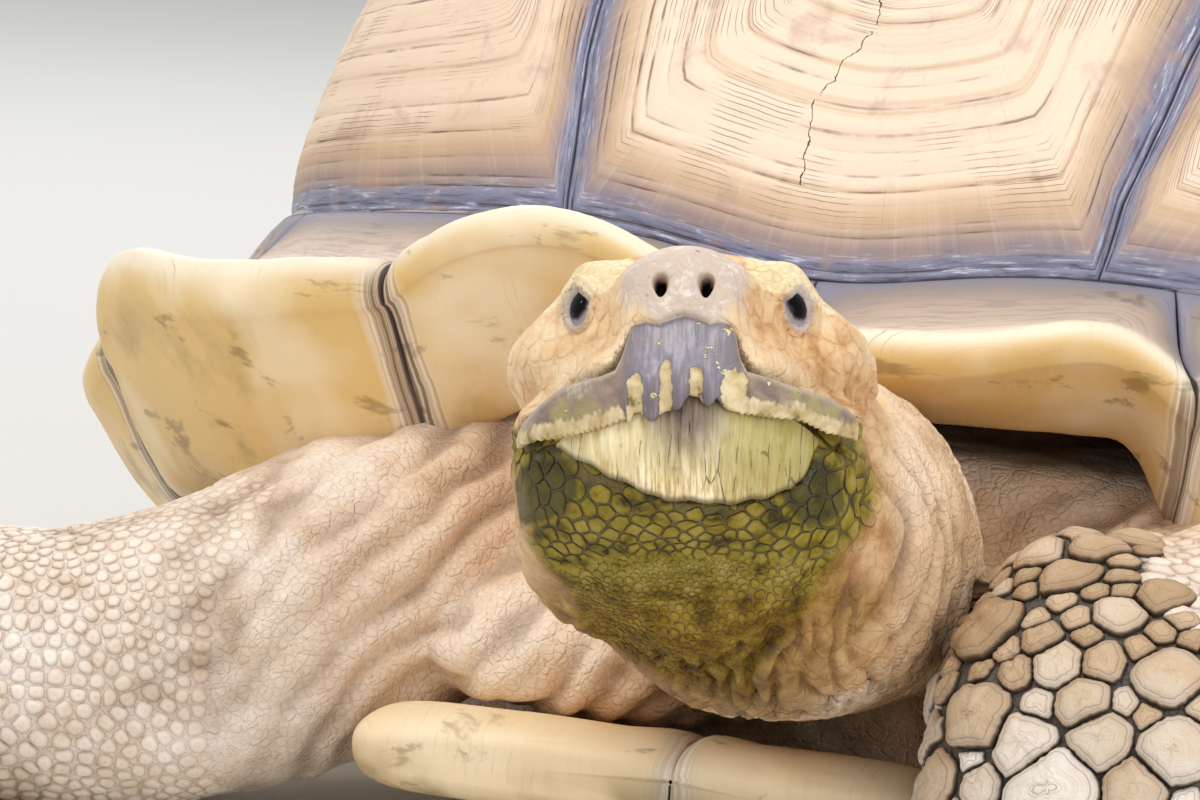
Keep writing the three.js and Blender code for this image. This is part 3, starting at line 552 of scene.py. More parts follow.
plates = {
    "cornersX": (84, 64, 90, 68, 93, 65, 84, 50), "cornersY": (-196, -142, -88, -35, 18, 70, 118, 172),
    "frontCorner": 15.8, "costalEnds": (74, 105, 134), "rearCorner": 157,
    "gap": 0.3, "thick": 7, "sampleStep": 0.022,      # sampleStep in chart units, about 5 mm
    "ringGap": 3.3, "ringSpread": 0.5, "ringDepth": 0.75, "areolaShare": 0.8,
    "seamWobble": 0.0035, "rounding": 0.75,
}
plateLift = [(0, -1.6), (0.03, -0.9), (0.09, 0.6), (0.16, 1.6), (0.62, 4.0), (0.8, 4.9), (1, 5.0)]


def edgeRun(a, b):
    count = max(2, int(np.linalg.norm(np.subtract(b, a)) / plates["sampleStep"]))
    t = np.linspace(0, 1, count, endpoint=False)[:, None]
    return np.asarray(a) * (1 - t) + np.asarray(b) * t


def seamRun(start, end):
    count = max(2, int(abs(end - start) / 1.6))
    return np.array([chartAtSeam(d) for d in np.linspace(start, end, count, endpoint=False)])


def wobbled(chart):
    # sutures waver a little, and both plates of a suture waver alike
    flat = np.concatenate([chart, np.zeros((len(chart), 1))], 1)
    shift = np.stack([noiseAt(flat, 0.05, 3), noiseAt(flat, 0.05, 8)], 1) * plates["seamWobble"]
    length = np.hypot(chart[:, 0], chart[:, 1])[:, None]
    return chart + shift * smooth((0.995 - length) / 0.06)


def circularMean(rows, window):
    total = np.zeros_like(rows)
    for k in range(-window, window + 1):
        total += np.roll(rows, k, axis=0) * (window + 1 - abs(k))
    return total / (window + 1) ** 2


def ringStarts(seed, reach):
    # distances from the plate's edge at which each year's band begins
    dice = np.random.default_rng(seed)
    starts = [2.2]
    while starts[-1] < reach:
        wide = plates["ringGap"] * (1 + plates["ringSpread"] * dice.uniform(-1, 1.3))
        starts.append(starts[-1] + wide * lerp(0.75, 1.2, min(1, starts[-1] / 25)))
    return np.array(starts[:-1])


def domePlate(name, runs, areola, seed, crack=None):
    outline = wobbled(np.concatenate(runs))
    count = len(outline)
    rounded = circularMean(outline, max(2, count // 22))
    middle = domePoint(areola[None])[0]
    size = float(np.mean(lengths(domePoint(outline) - middle)))
    starts = ringStarts(seed, size * plates["areolaShare"])
    dice = np.random.default_rng(seed + 100)
    strengths = dice.uniform(0.25, 1.0, len(starts)) ** 1.3
    shares, grooves, ringIds = [0, 0.8 / size, 1.7 / size], [0, 0, 0], [0, 0, 0]
    for k, start in enumerate(starts):
        wide = (starts[k + 1] if k + 1 < len(starts) else start + 4) - start
        for offset, depth in ((0, 1), (0.13, 0.05), (0.5, 0), (0.86, 0.05)):
            shares.append((start + offset * wide) / size)
            grooves.append(depth * strengths[k])
            ringIds.append(k + offset)
    shares += list(np.linspace(shares[-1] + 2.5 / size, 0.985, 7))
    grooves += [0] * 7
    ringIds += [len(starts) + k / 3 for k in range(7)]
    around = np.arange(count) / count * 2 * np.pi
    loops, facts = [], []

    def addLoop(place, share, depth=0, ringId=0):
        loops.append(place)
        facts.append(np.stack([np.full(count, share), depth + np.zeros(count), np.full(count, ringId), around]))

    for share, depth, ringId in zip(shares, grooves, ringIds):
        soft = plates["rounding"] * float(smooth(share * 2.2))
        shape = outline * (1 - soft) + rounded * soft
        at = shape + (areola - shape) * share
        normal = domeNormal(at)
        place = domePoint(at)
        if share == 0:
            inward = unit(middle - place)
            place = place + inward * plates["gap"] / 2
        patchy = 0.62 + 0.5 * noiseAt(place, 16, seed)
        lift = np.interp(share, *zip(*plateLift)) - plates["ringDepth"] * depth * np.clip(patchy, 0.1, 1.1)
        lift = lift + 0.7 * noiseAt(place, 38, seed + 5) * float(smooth(share * 6))
        lift = lift + 0.16 * noiseAt(place, 5, seed + 9)
        addLoop(place + normal * lift[:, None], share, depth * np.clip(patchy, 0.15, 1), ringId)
    top = domePoint(areola[None]) + domeNormal(areola[None]) * 5.0
    rows = len(loops)
    for share, drop in ((0, -4.5), (0.25, -plates["thick"]), (0.6, -plates["thick"])):
        at = outline + (areola - outline) * share
        place = domePoint(at) + domeNormal(at) * drop
        if share == 0:
            place = place + unit(middle - place) * plates["gap"] / 2
        addLoop(place, share)
    under = middle - domeNormal(areola[None])[0] * plates["thick"]
    points = np.concatenate(loops + [top, under[None]])
    order = np.array([*range(rows - 1, -1, -1), rows, rows + 1, rows + 2])
    quads = gridFaces(len(order), count, closedColumns=True)
    quads = order[quads // count] * count + quads % count
    topFan = fanFaces((rows - 1) * count + np.arange(count), len(points) - 2, flip=True)
    lowFan = fanFaces((rows + 2) * count + np.arange(count), len(points) - 1)
    faceSets = turnOutward(points, [quads, np.concatenate([topFan, lowFan])])
    growth, groove, ring, theta = np.concatenate(facts + [np.tile([1.0, 0.5], (4, 1))], 1)
    masks = {
        "growth": growth, "groove": groove, "ring": ring, "plateSize": np.full(len(points), size),
        "aroundX": np.cos(theta), "aroundY": np.sin(theta), "plateSeed": np.full(len(points), seed * 0.37 % 1),
        "crackAcross": crack(points) if crack else np.full(len(points), 50.0),
    }
    return meshFrom(name, points, faceSets, masks)


plateLook = {
    "seamLine": "#55536a", "seamBand": "#83849c", "seamStreak": "#d5d9e8", "outer": "#a38d88", "middle": "#d3b594",
    "pale": "#f3dac0", "areola": "#dcb994", "line": "#655049", "crack": "#4a352f", "dust": "#b99a86",
    "tan": "#bf9b73", "lineDensity": 3.1, "crackWidth": 0.16,
}


def makePlateMaterial():
    material, tree, shader = newMaterial("plateHorn", roughness=0.5)
    place = objectPlace(tree)
    growth, groove, ring = mask(tree, "growth"), mask(tree, "groove"), mask(tree, "ring")
    seed, aroundX, aroundY = mask(tree, "plateSeed"), mask(tree, "aroundX"), mask(tree, "aroundY")
    polar = vectorOf(aroundX, aroundY, seed)
    cloud = speckle(place, 26.0, 3.5)
    wavy = growth + (cloud - 0.5) * 0.09
    base = ramp(wavy, [(0.0, "seamBand"), (0.045, "seamBand"), (0.085, "outer"), (0.15, "middle"), (0.24, "pale"),
        (0.72, "pale"), (0.86, "areola")], plateLook)
    # bands of darker and paler years
    yearMask = spread(speckleAlong(ring + seed * 90.0, 0.8), 0.5, 0.72) * 0.45
    base = blend(yearMask, base, plateLook["tan"])
    base = blend(spread(seed, 0.3, 1.0) * 0.35, base, plateLook["tan"])
    # fibres across the rings
    rays = stretched(polar, (14.0, 14.0, 1.0))
    fibre = speckle(rays, 3.0, 3.5, 0.7)
    base = blend(spread(fibre, 0.45, 0.8) * 0.16, base, "#fff0dd")
    # blue-grey suture bands with pale streaks along them
    band = spread(wavy, 0.03, 0.085, 1.0, 0.0)
    along = vectorOf(growth * 70.0, aroundX, aroundY)
    streak = speckle(stretched(along, (1.0, 6.0, 6.0)), 1.6, 3.5, 0.65, 0.3)
    bandColour = ramp(streak, [(0.32, "seamLine"), (0.47, "seamBand"), (0.57, "seamBand"), (0.69, "seamStreak")],
        plateLook)
    base = blend(band, base, bandColour)
    base = stained(base, plateLook["dust"], place, 55.0, 0.56, 0.15, 0.5)
    # main grooves, hairlines between them and cracks
    broken = spread(speckle(place, 60.0, 3.5), 0.36, 0.62)
    dark = spread(groove, 0.12, 0.6) * broken
    hair = hairlines(ring, plateLook["lineDensity"], 0.1, place, 0.55)
    hair = hair * (spread(growth, 0.1, 0.2) * 0.55)
    lines = maths("MAXIMUM", dark, hair)
    crackDistance = abs(mask(tree, "crackAcross") + (speckle(place, 160.0, 3.5) - 0.5) * 5.0)
    crack = spread(crackDistance, 0.1, plateLook["crackWidth"], 1.0, 0.0)
    base = blend(lines * 0.72, base, plateLook["line"])
    base = blend(crack, base, plateLook["crack"])
    edgeLine = spread(growth, 0.0, 0.012, 1.0, 0.0)
    base = blend(edgeLine * 0.8, base, "#3a3642")
    shader["Base Color"] = base
    grain = grainAt(place, 420.0)
    shader["Roughness"] = spread(band, 0.0, 1.0, 0.5, 0.33) + grain * 0.12
    shader["Normal"] = bump(grain * 0.35 - lines * 0.8 + fibre * 0.14 - crack, 0.5)
    return material


def crackOnFirstPlate(points):
    # one long crack from the areola of the first vertebral plate towards the front
    path = np.array([(-6, -202), (-2, -222), (-12, -238), (-10, -252)], float)
    best = np.full(len(points), 50.0)
    for a, b in zip(path[:-1], path[1:]):
        ab = b - a
        t = ((points[:, :2] - a) @ ab) / (ab @ ab)
        off = (points[:, 0] - a[0]) * ab[1] - (points[:, 1] - a[1]) * ab[0]
        off = off / np.linalg.norm(ab)
        near = (t >= 0) & (t <= 1) & (np.abs(off) < np.abs(best))
        best[near] = off[near]
    return best


def makeDomePlates(material):
    corners = list(zip(plates["cornersX"], plates["cornersY"]))
    corner = lambda side, k: chartFromPlan(side * corners[k][0], corners[k][1])
    frontCorner, rearCorner = plates["frontCorner"], plates["rearCorner"]
    path = lambda *spots: [edgeRun(a, b) for a, b in zip(spots[:-1], spots[1:])]
    leftFront, rightFront = chartAtSeam(frontCorner), chartAtSeam(-frontCorner)
    leftRear, rightRear = chartAtSeam(rearCorner), chartAtSeam(-rearCorner)
    runs = [seamRun(-frontCorner, frontCorner)]
    runs += path(leftFront, corner(1, 0), corner(1, 1), corner(-1, 1), corner(-1, 0), rightFront)
    mesh = domePlate("vertebral1", runs, chartFromPlan(0, -188), 1, crackOnFirstPlate)
    addPiece("vertebral1Plate", mesh, material, ["vertebral_1"])
    for number, (a, b, c) in enumerate(((1, 2, 3), (3, 4, 5), (5, 6, 7)), 2):
        loop = [corner(1, a), corner(1, b), corner(1, c), corner(-1, c), corner(-1, b), corner(-1, a), corner(1, a)]
        middleY = (corners[a][1] + corners[c][1]) / 2 + 8
        mesh = domePlate(f"vertebral{number}", path(*loop), chartFromPlan(0, middleY), number)
        addPiece(f"vertebral{number}Plate", mesh, material, [f"vertebral_{number}"])
    runs = path(rightRear, corner(-1, 7), corner(1, 7), leftRear) + [seamRun(rearCorner, 360 - rearCorner)]
    addPiece("vertebral5Plate", domePlate("vertebral5", runs, chartFromPlan(0, 205), 5), material,
        ["vertebral_5"])
    for side, name in sides:
        ends = [frontCorner, *plates["costalEnds"], rearCorner]
        inner = [
            [corner(side, 2), corner(side, 1), corner(side, 0), chartAtSeam(side * frontCorner)],
            [corner(side, 4), corner(side, 3), corner(side, 2)],
            [corner(side, 6), corner(side, 5), corner(side, 4)],
            [chartAtSeam(side * rearCorner), corner(side, 7), corner(side, 6)],
        ]
        for k, spots in enumerate(inner):
            start, end = ends[k], ends[k + 1]
            loop = [chartAtSeam(side * end), *spots, chartAtSeam(side * start)]
            runs = [seamRun(side * start, side * end)] + [edgeRun(a, b) for a, b in zip(loop[:-1], loop[1:])
                                                          if np.linalg.norm(a - b) > 1e-4]
            areola = np.concatenate(runs).mean(axis=0) * 0.86
            mesh = domePlate(f"costal{name}{k + 1}", runs, areola, 10 + k + (side > 0) * 7)
            addPiece(f"costal{k + 1}Plate_{name}", mesh, material, [f"costal_{name}_{k + 1}"])


print("dome plates")
plateMaterial = makePlateMaterial()
makeDomePlates(plateMaterial)


# rim plates

# end = polar angle where the plate ends, reach and lip = how far out and how high its edge is,
# turn = swing of the edge, root and inset = where its underside ends, notch = step at its ends
rimKeys = ("end", "reach", "lip", "turn", "root", "inset", "thick", "notch")
rimRows = [
    (20, 39, 165, 0, 113, 0, 11, 10), (39.5, 64, 139, 16, 76, -32, 18, 6), (55.5, 54, 97, 6, 50, -20, 15, 4),
    (69, 33, 76, 4, 46, 6, 11, 2), (83, 21, 60, 0, 42, 14, 11, 1), (97, 18, 55, 0, 40, 16, 11, 1),
    (111, 20, 55, 0, 42, 14, 11, 3), (126, 34, 60, -4, 50, 6, 10, 6), (141, 41, 62, -8, 66, 4, 10, 7),
    (154.5, 40, 59, -6, 72, 4, 10, 7), (168, 35, 54, -3, 72, 4, 10, 6), (180, 31, 46, 0, 66, 4, 12, 0),
]
rim = {
    "leftFirst": {"end": 20, "lip": 152, "root": 117}, "midlineNotch": 9, "midlineLip": 143, "peak": 1.4,
    "leftPeak": 4.3,
    "sink": 0.6, "gap": 0.25, "around": 56, "alongSmall": 26, "alongLarge": 44,
}
# lip: colour of the painted highlight on the rim plates' edges, also used for the gulars' worn front
rimLook = {
    "seamLine": "#40353a", "seamBand": "#8a8796", "upper": "#c4ac9a", "upperPale": "#ead4bd",
    "upperDark": "#988a83", "under": "#e9c581", "underPale": "#fbe8c2", "lip": "#fbecd0", "olive": "#7d6a2e",
    "brown": "#5e4324",
}


def rimEnd(index, side):
    return rim["leftFirst"]["end"] if index == 0 and side > 0 else rimRows[index][0]


def rimValue(index, share, side, key):
    column = rimKeys.index(key)

    def value(i):
        if side > 0 and i == 0 and key in rim["leftFirst"]:
            return rim["leftFirst"][key]
        return rimRows[i][column]

    middle = value(index)
    before = (value(index - 1) + middle) / 2 if index else (rim["midlineLip"] if key == "lip" else middle)
    after = middle if index == len(rimRows) - 1 else (value(index + 1) + middle) / 2
    along = share ** rim["leftPeak" if side > 0 else "peak"] if index == 0 else share
    return lerp(middle, np.where(along < 0.5, before, after), (2 * along - 1) ** 2)


def rimPlate(name, index, side, wholeTail=False):
    large = rimRows[index][1] > 30
    columns = rim["alongLarge"] if large else rim["alongSmall"]
    start = rimRows[index - 1][0] if index else 0
    end = rimEnd(index, side)
    share = 0.5 - 0.5 * np.cos(np.linspace(0, np.pi, columns))
    share = lerp(np.linspace(0, 1, columns), share, 0.6)
    angle = np.radians(lerp(start, end, share))
    if wholeTail:
        angle = np.radians(lerp(start, 360 - start, share))
        share = 0.5 - np.abs(share - 0.5)
    radius = outlineRadius(angle)
    seam = np.stack([radius * np.sin(angle), -radius * np.cos(angle), seamHeight(angle)], 1)
    step = 0.01
    ahead = np.stack([np.sin(angle + step), -np.cos(angle + step)], 1) * outlineRadius(angle + step)[:, None]
    behind = np.stack([np.sin(angle - step), -np.cos(angle - step)], 1) * outlineRadius(angle - step)[:, None]
    heading = np.arctan2((ahead - behind)[:, 1], (ahead - behind)[:, 0])
    get = lambda key: np.broadcast_to(rimValue(index, share, side, key), share.shape).astype(float)
    heading = heading + np.radians(get("turn"))
    out = np.stack([np.sin(heading), -np.cos(heading)], 1)
    depth = np.where(share < 0.5, rimRows[index - 1][7] if index else rim["midlineNotch"], rimRows[index][7])
    notch = depth * (2 * share - 1) ** 4
    reach, lip = get("reach") - notch, get("lip") - 0.6 * notch
    thick, root, inset = get("thick"), get("root"), get("inset")
    flare = smooth((reach - 25) / 30)
    sag = 9 * flare
    seamZ, rootOut, low = seam[:, 2], -inset, lip - thick
    profile = [
        (0 * reach + 0.2, seamZ - 0.3), (0.35 * reach, lerp(seamZ, lip, 0.38) - sag),
        (0.7 * reach, lerp(seamZ, lip, 0.75) - 0.6 * sag), (reach - 4.5, lip - 0.2), (reach - 0.8, lip - 0.2 * thick),
        (reach, lip - 0.5 * thick), (reach - 1.5, lip - 0.86 * thick), (reach - 5, low - 3 * flare),
        (lerp(rootOut, reach - 7, 0.5) + 3 * flare, lerp(root, low, 0.5) - 5 * flare), (rootOut, root),
        (np.minimum(rootOut, 0) - 6, np.minimum(root + 10, seamZ - 14)), (0 * reach - 6, seamZ - 9),
    ]
    rows = []
    for k in range(len(profile)):
        distance, z = profile[k]
        flat = seam[:, :2] + out * (distance + rim["sink"])[:, None]
        rows.append(np.column_stack([flat, z]))
    count = rim["around"]
    control = np.stack(rows, 1)
    loops = np.stack([splineThrough(column, count, closed=True) for column in control])
    # distances along the plate and across its ends
    middleLine = np.cumsum(np.concatenate([[0], lengths(np.diff(loops[:, count // 4], axis=0))]))
    fromEnds = np.minimum(middleLine, middleLine[-1] - middleLine)
    v = np.arange(count) / count * len(profile)
    across = lengths(np.diff(loops[columns // 2], axis=0))
    fromSeam = np.concatenate([[0], np.cumsum(across)])
    fromSeam = np.broadcast_to(fromSeam, (columns, count))
    ends = np.broadcast_to(fromEnds[:, None], (columns, count))
    under = np.broadcast_to(smooth((v - 3.2) / 1.6) * (v < 11), (columns, count))
    # painted highlight: a pale band along the rolled top of each rim plate's edge, kept as the lip mask
    lipHighlight = np.broadcast_to(bell(v - 3.5, 1.0), (columns, count))
    growth = -6 * np.log(np.exp(-fromSeam / 6) * (1 - under) + np.exp(-ends / 6) + 1e-6)
    points = loops.reshape(-1, 3)
    growth, ends, under, lipHighlight = [x.reshape(-1) for x in (growth, ends, under, lipHighlight)]
    # relief: sunk sutures, growth steps and worn hollows
    steps = np.abs((growth / 3.4 + 0.6 * noiseAt(points, 30, index)) % 1 - 0.5) * 2
    relief = -1.3 * bell(ends, 2.2) - 0.35 * smooth((steps - 0.78) / 0.22) * smooth(growth / 3) * (1 - 0.8 * under)
    relief += 0.8 * noiseAt(points, 34, index + 3) + 0.2 * noiseAt(points, 6, index + 7)
    grid = points.reshape(columns, count, 3)
    alongColumns = np.gradient(grid, axis=0)
    aroundRows = (np.roll(grid, -1, 1) - np.roll(grid, 1, 1))
    normal = unit(np.cross(alongColumns, aroundRows)).reshape(-1, 3)
    centre = np.repeat(grid.mean(axis=1), count, axis=0)
    if np.mean(np.einsum("ij,ij->i", normal, points - centre)) < 0:
        normal = -normal
    points = points + normal * (relief * smooth(fromSeam.reshape(-1) / 4))[:, None]
    grid = points.reshape(columns, count, 3)
    shift = unit(grid[1] - grid[0]) * rim["gap"] / 2
    grid[0] += shift
    grid[-1] -= unit(grid[-1] - grid[-2]) * rim["gap"] / 2
    points, faceSets = loftFrom(grid * [side, 1, 1])
    pad = lambda x: np.concatenate([x, [0, 0]])
    masks = {
        "growth": pad(growth), "ends": pad(ends), "under": pad(under), "lip": pad(lipHighlight),
        "fromSeam": pad(fromSeam.reshape(-1)), "plateSeed": np.full(len(points), (index * 0.37 + side * 0.21) % 1),
    }
    return meshFrom(name, points, faceSets, masks)


def makeRimMaterial():
    material, tree, shader = newMaterial("rimHorn", roughness=0.45)
    place = objectPlace(tree)
    growth, ends, under, lip = [mask(tree, name) for name in ("growth", "ends", "under", "lip")]
    fromSeam, seed = mask(tree, "fromSeam"), mask(tree, "plateSeed")
    cloud = speckle(place, 30.0, 3.5)
    warp = (cloud - 0.5) * 5.0
    run = growth + warp
    upper = ramp(run * (1 / 45), [(0.0, "seamBand"), (0.05, "seamBand"), (0.13, "upperDark"), (0.3, "upper"),
        (0.75, "upperPale")], rimLook)
    along = vectorOf(run, ends * 0.06, seed)
    streak = speckle(stretched(along, (0.7, 1.0, 9.0)), 1.0, 3.5, 0.65)
    upper = blend(spread(streak, 0.48, 0.62) * 0.5, upper, rimLook["upperDark"])
    below = ramp(speckle(place, 17.0, 3.0), [(0.3, "under"), (0.5, "under"), (0.68, "underPale")], rimLook)
    banding = ramp(streak, [(0.35, "brown"), (0.45, "upperDark"), (0.53, "#d3c6b6"), (0.6, "#f6f2ee")], rimLook)
    bandReach = ends + (cloud - 0.5) * 9.0
    underBand = spread(bandReach, 2.5, 9.0, 1.0, 0.0)
    below = blend(underBand * 0.8, below, banding)
    base = blend(under, upper, below)
    # pale rim edge: painted highlight on the marginals' rolled edge; on the gulars the same mask holds their worn
    # front
    base = blend(lip * 0.85, base, rimLook["lip"])
    deep = under * spread(fromSeam, 60.0, 130.0)
    base = stained(base, rimLook["olive"], place, 24.0, 0.5, 0.2, deep * 0.8)
    base = stained(base, rimLook["brown"], stretched(place, (1.0, 1.0, 2.2)), 46.0, 0.6, 0.08, 0.45)
    soil = mask(tree, "soil") * spread(cloud, 0.38, 0.6)
    base = blend(soil * 0.75, base, "#8f7434")
    hair = hairlines(run, 0.3, 0.07, place, 0.62)
    hair = hair * (0.5 - under * 0.36)
    base = blend(hair, base, rimLook["brown"])
    seamMask = maths("MAXIMUM", spread(ends, 0.1, 0.6, 0.8, 0.0), spread(fromSeam, 0.2, 0.8, 0.9, 0.0))
    base = blend(seamMask, base, rimLook["seamLine"])
    shader["Base Color"] = base
    grain = grainAt(place, 330.0, 0.55)
    shader["Roughness"] = grain * 0.25 + 0.34
    shader["Normal"] = bump(grain * 0.3 - hair * 0.8 + streak * 0.35, 0.5)
    return material


def makeRimPlates(material):
    last = len(rimRows) - 1
    for side, name in sides:
        for index in range(last):
            title = f"marginal{index + 1}Plate_{name}"
            addPiece(title, rimPlate(title, index, side), material, [f"marginal_{name}_{index + 1}"])
    addPiece("tailPlate", rimPlate("tailPlate", last, 1, wholeTail=True), material, ["supracaudal"])


print("rim plates")
rimMaterial = makeRimMaterial()
makeRimPlates(rimMaterial)


# flesh: one skin over head, neck, limbs and the body's front and rear walls

headPlace = {"at": (18.2, -406.4, 129.2), "yaw": 15.5, "pitch": 24, "roll": 4.5}


def headAxes():
    yaw, pitch, roll = [math.radians(headPlace[k]) for k in ("yaw", "pitch", "roll")]
    level = np.array([math.cos(yaw), math.sin(yaw), 0])
    ahead = np.array([math.sin(yaw) * math.cos(pitch), -math.cos(yaw) * math.cos(pitch), math.sin(pitch)])
    upright = np.cross(ahead, level)
    return level * math.cos(roll) + upright * math.sin(roll), ahead, upright * math.cos(roll) - level * math.sin(roll)


headBasis = np.stack(headAxes())          # rows: side to the animal's left, forward, up


def headPoint(rows):
    return np.asarray(rows, float) @ headBasis + headPlace["at"]


def toHead(points):
    return (np.asarray(points) - headPlace["at"]) @ headBasis.T


# rows: forward, half-width, top, bottom, narrowing towards the top, in the head's own frame
skullRows = [
    (-46, 30, 27, -14, 0), (-36, 37, 36, -10, 0), (-20, 43, 42, -4, 0.18), (-4, 43, 43, -2, 0.24),
    (8, 39, 42, -1, 0.26),
    (20, 30, 39.0, -1, 0.25), (30, 22, 36, -1.5, 0.1), (37, 16.5, 33, 2, 0), (41, 11, 28.5, 9, 0),
]
cheekRows = [
    (-44, 30, 16, -34, 0), (-32, 40, 20, -36, 0), (-16, 43, 20, -34, 0), (-2, 43.2, 14, -30, 0), (8, 41, 6, -26, 0),
    (18, 35.5, 0, -22, 0), (28, 27, -3, -18, 0), (34, 18, -5, -15, 0),
]
jawRows = [
    (-44, 30, -15, -46, 0), (-30, 40, -11, -45, 0), (-14, 42, -6, -42, 0), (2, 41, -3, -39, 0),
    (16, 34.5, -3, -34, 0),
    (27, 25, -4, -29, 0), (34, 15, -8, -25, 0),
]
# rows: centre, half-width, half-height and, where it isn't straight up, a hint of up
limbRows = {
    "armRight": [
        (-66, -205, 74, 46, 34), (-102, -262, 66, 46, 38), (-134, -303, 46, 45, 40),
        (-176, -322, 35, 41, 37), (-218, -334, 32, 38, 34), (-258, -344, 26, 36, 28),
        (-290, -352, 17, 34, 19), (-310, -358, 11, 26, 12)],
    "armLeft": [
        (94, -206, 74, 44, 34), (118, -262, 72, 46, 33), (118, -312, 71, 49, 31, 0, -0.2, 1),
        (117, -346, 62, 50, 36, 0, -0.8, 0.6), (118, -362, 36, 48, 34, 0, -1, 0.2),
        (119, -368, 14, 44, 32, 0, -1, 0.1),
        (120, -370, -6, 42, 32, 0, -1, 0.1)],
    "legLeft": [
        (84, 132, 46, 42, 28), (132, 184, 42, 42, 27), (160, 218, 34, 39, 27, 0.1, 0.2, 1),
        (173, 236, 17, 36, 34, 0.5, 0.8, 0.2), (176, 240, -6, 37, 36, 0.5, 0.85, 0.1)],
    "tail": [
        (0, 205, 46, 26, 20), (6, 244, 36, 20, 16), (20, 276, 21, 13, 12),
        (36, 296, 9.5, 8, 8), (46, 304, 5, 4, 4)],
    "chest": [
        (-44, -206, 60, 62, 36), (-46, -244, 59, 56, 33), (-46, -278, 57, 48, 27),
        (-44, -306, 52, 38, 17), (-42, -318, 49, 24, 9)],
    "neck": [
        (21, -392, 116, 37, 38), (24, -374, 102, 43, 43), (24, -348, 95, 47, 43),
        (14, -312, 87, 48, 41), (4, -272, 74, 48, 33), (0, -235, 72, 47, 31)],
}
limbRows = {name: [(*row, 0, 0, 1)[:8] for row in rows] for name, rows in limbRows.items()}
limbRows["legRight"] = [(-x, y, z, wide, high, -a, b, c) for x, y, z, wide, high, a, b, c in limbRows["legLeft"]]
# the horn of both jaws, in the head's frame: its plan, and its outlines as side and height
beaks = {
    "columns": 340, "rows": 26, "thick": 2.6,
    "upper": {"side": 40.2, "back": 1.5, "front": 43.4, "sweep": 80},
    "lower": {"side": 31.0, "back": 8.5, "front": 40.2, "sweep": 78},
}
upperTop = [
    (-41, -6.5), (-35.7, -3.5), (-30, -0.7), (-25, 0.6), (-19, 1.2), (-15.4, 2.4), (-14.2, 5.3), (-12.8, 12),
    (-11.8, 14.6), (-8.6, 15.2), (-5.5, 14.6), (-2.6, 15.8), (0.3, 16.6), (3.2, 15.8), (6.2, 14.6), (9, 15.3),
    (11.2, 14.8), (12.6, 11.8), (13.6, 5), (15, 2.2), (18, 1.6), (26, 0.1), (34.8, -0.5), (39.3, -1.2), (41, -3.2),
]
upperLow = [
    (-41, -7.4), (-37.5, -9.3), (-31, -10.8), (-24.8, -11), (-18.2, -10.2), (-13.4, -9.0), (-12.3, -10.2),
    (-11.2, -7.6),
    (-9.6, -7.4), (-8.6, -9.0), (-7.4, -10.2), (-5.8, -10.0), (-5.0, -8.4), (-3.6, -7.4), (-2.4, -7.3), (-1.4, -7.6),
    (-0.1, -7.4), (0.8, -5.6), (1.9, -3.9), (4.2, -4.2), (5.2, -6.0), (6.4, -6.7), (7.4, -6.0), (8.3, -4.4),
    (9.4, -5.8),
    (11, -6.8), (19.3, -7.4), (28.5, -6.9), (34.3, -8.1), (38.5, -6.8), (41, -5.0),
]
lowerTop = [
    (-31, -10.4), (-27, -9.0), (-20.8, -8.2), (-9, -6.4), (-4, -4.6), (-0.5, -2.6), (2, -1.8), (5, -2.6), (8, -4.2),
    (12, -5.4), (20, -5.8), (26, -6.0), (31, -7.6),
]
lowerLow = [
    (-31, -11.2), (-29, -12), (-25, -15.6), (-18.8, -20.4), (-10.9, -24.4), (-6, -26.5), (1, -27.7), (12.5, -27.7),
    (20.5, -25.3), (26.8, -21.7), (29.2, -17.4), (31, -11.4),
]


def alongOutline(outline):
    at = np.array(outline)
    return lambda s: np.interp(s, at[:, 0], at[:, 1])


upperTopAt, upperLowAt, lowerTopAt, lowerLowAt = [alongOutline(o) for o in (upperTop, upperLow, lowerTop, lowerLow)]
skinLook = {
    "inset": 1.2, "voxel": 1.9, "rearVoxel": 2.6, "ringPoints": 48, "square": 2.3, "floorGap": 0.3,
    "smoothing": 7, "neckSmoothing": 9, "fineSmoothing": 4, "rearSmoothing": 10, "eyeZone": 15, "noseZone": 13,
}


def superEllipse(count, square):
    a = np.linspace(0, 2 * np.pi, count, endpoint=False)
    c, s = np.cos(a), np.sin(a)
    return np.sign(c) * np.abs(c) ** (2 / square), np.sign(s) * np.abs(s) ** (2 / square)


def limbFrames(rows):
    rows = np.asarray(rows, float)
    length = lengths(np.diff(rows[:, :3], axis=0)).sum()
    fine = splineThrough(rows, max(8, int(length / 4)))
    centre = fine[:, :3]
    ahead = unit(np.gradient(centre, axis=0))
    across = unit(np.cross(ahead, fine[:, 5:8]))
    return fine, centre, ahead, across, unit(np.cross(across, ahead))


def limbLoft(rows):
    fine, centre, ahead, across, above = limbFrames(rows)
    c, s = superEllipse(skinLook["ringPoints"], skinLook["square"])
    wide, high = fine[:, 3] - skinLook["inset"], fine[:, 4] - skinLook["inset"]
    rings = (centre[:, None] + across[:, None] * (wide[:, None] * c)[..., None]
             + above[:, None] * (high[:, None] * s)[..., None])
    return loftFrom(rings)


def headLoft(rows, square):
    fine = splineThrough(rows, 60)
    c, s = superEllipse(64, square)
    forward, wide, top, bottom, narrow = fine.T
    half, middle = (top - bottom) / 2 - skinLook["inset"], (top + bottom) / 2
    taper = 1 - narrow[:, None] * np.maximum(0, s)
    across = (wide - skinLook["inset"])[:, None] * c * taper
    rings = np.stack([across, np.broadcast_to(forward[:, None], across.shape), middle[:, None] + half[:, None] * s],
        2)
    return loftFrom(headPoint(rings.reshape(-1, 3)).reshape(rings.shape))


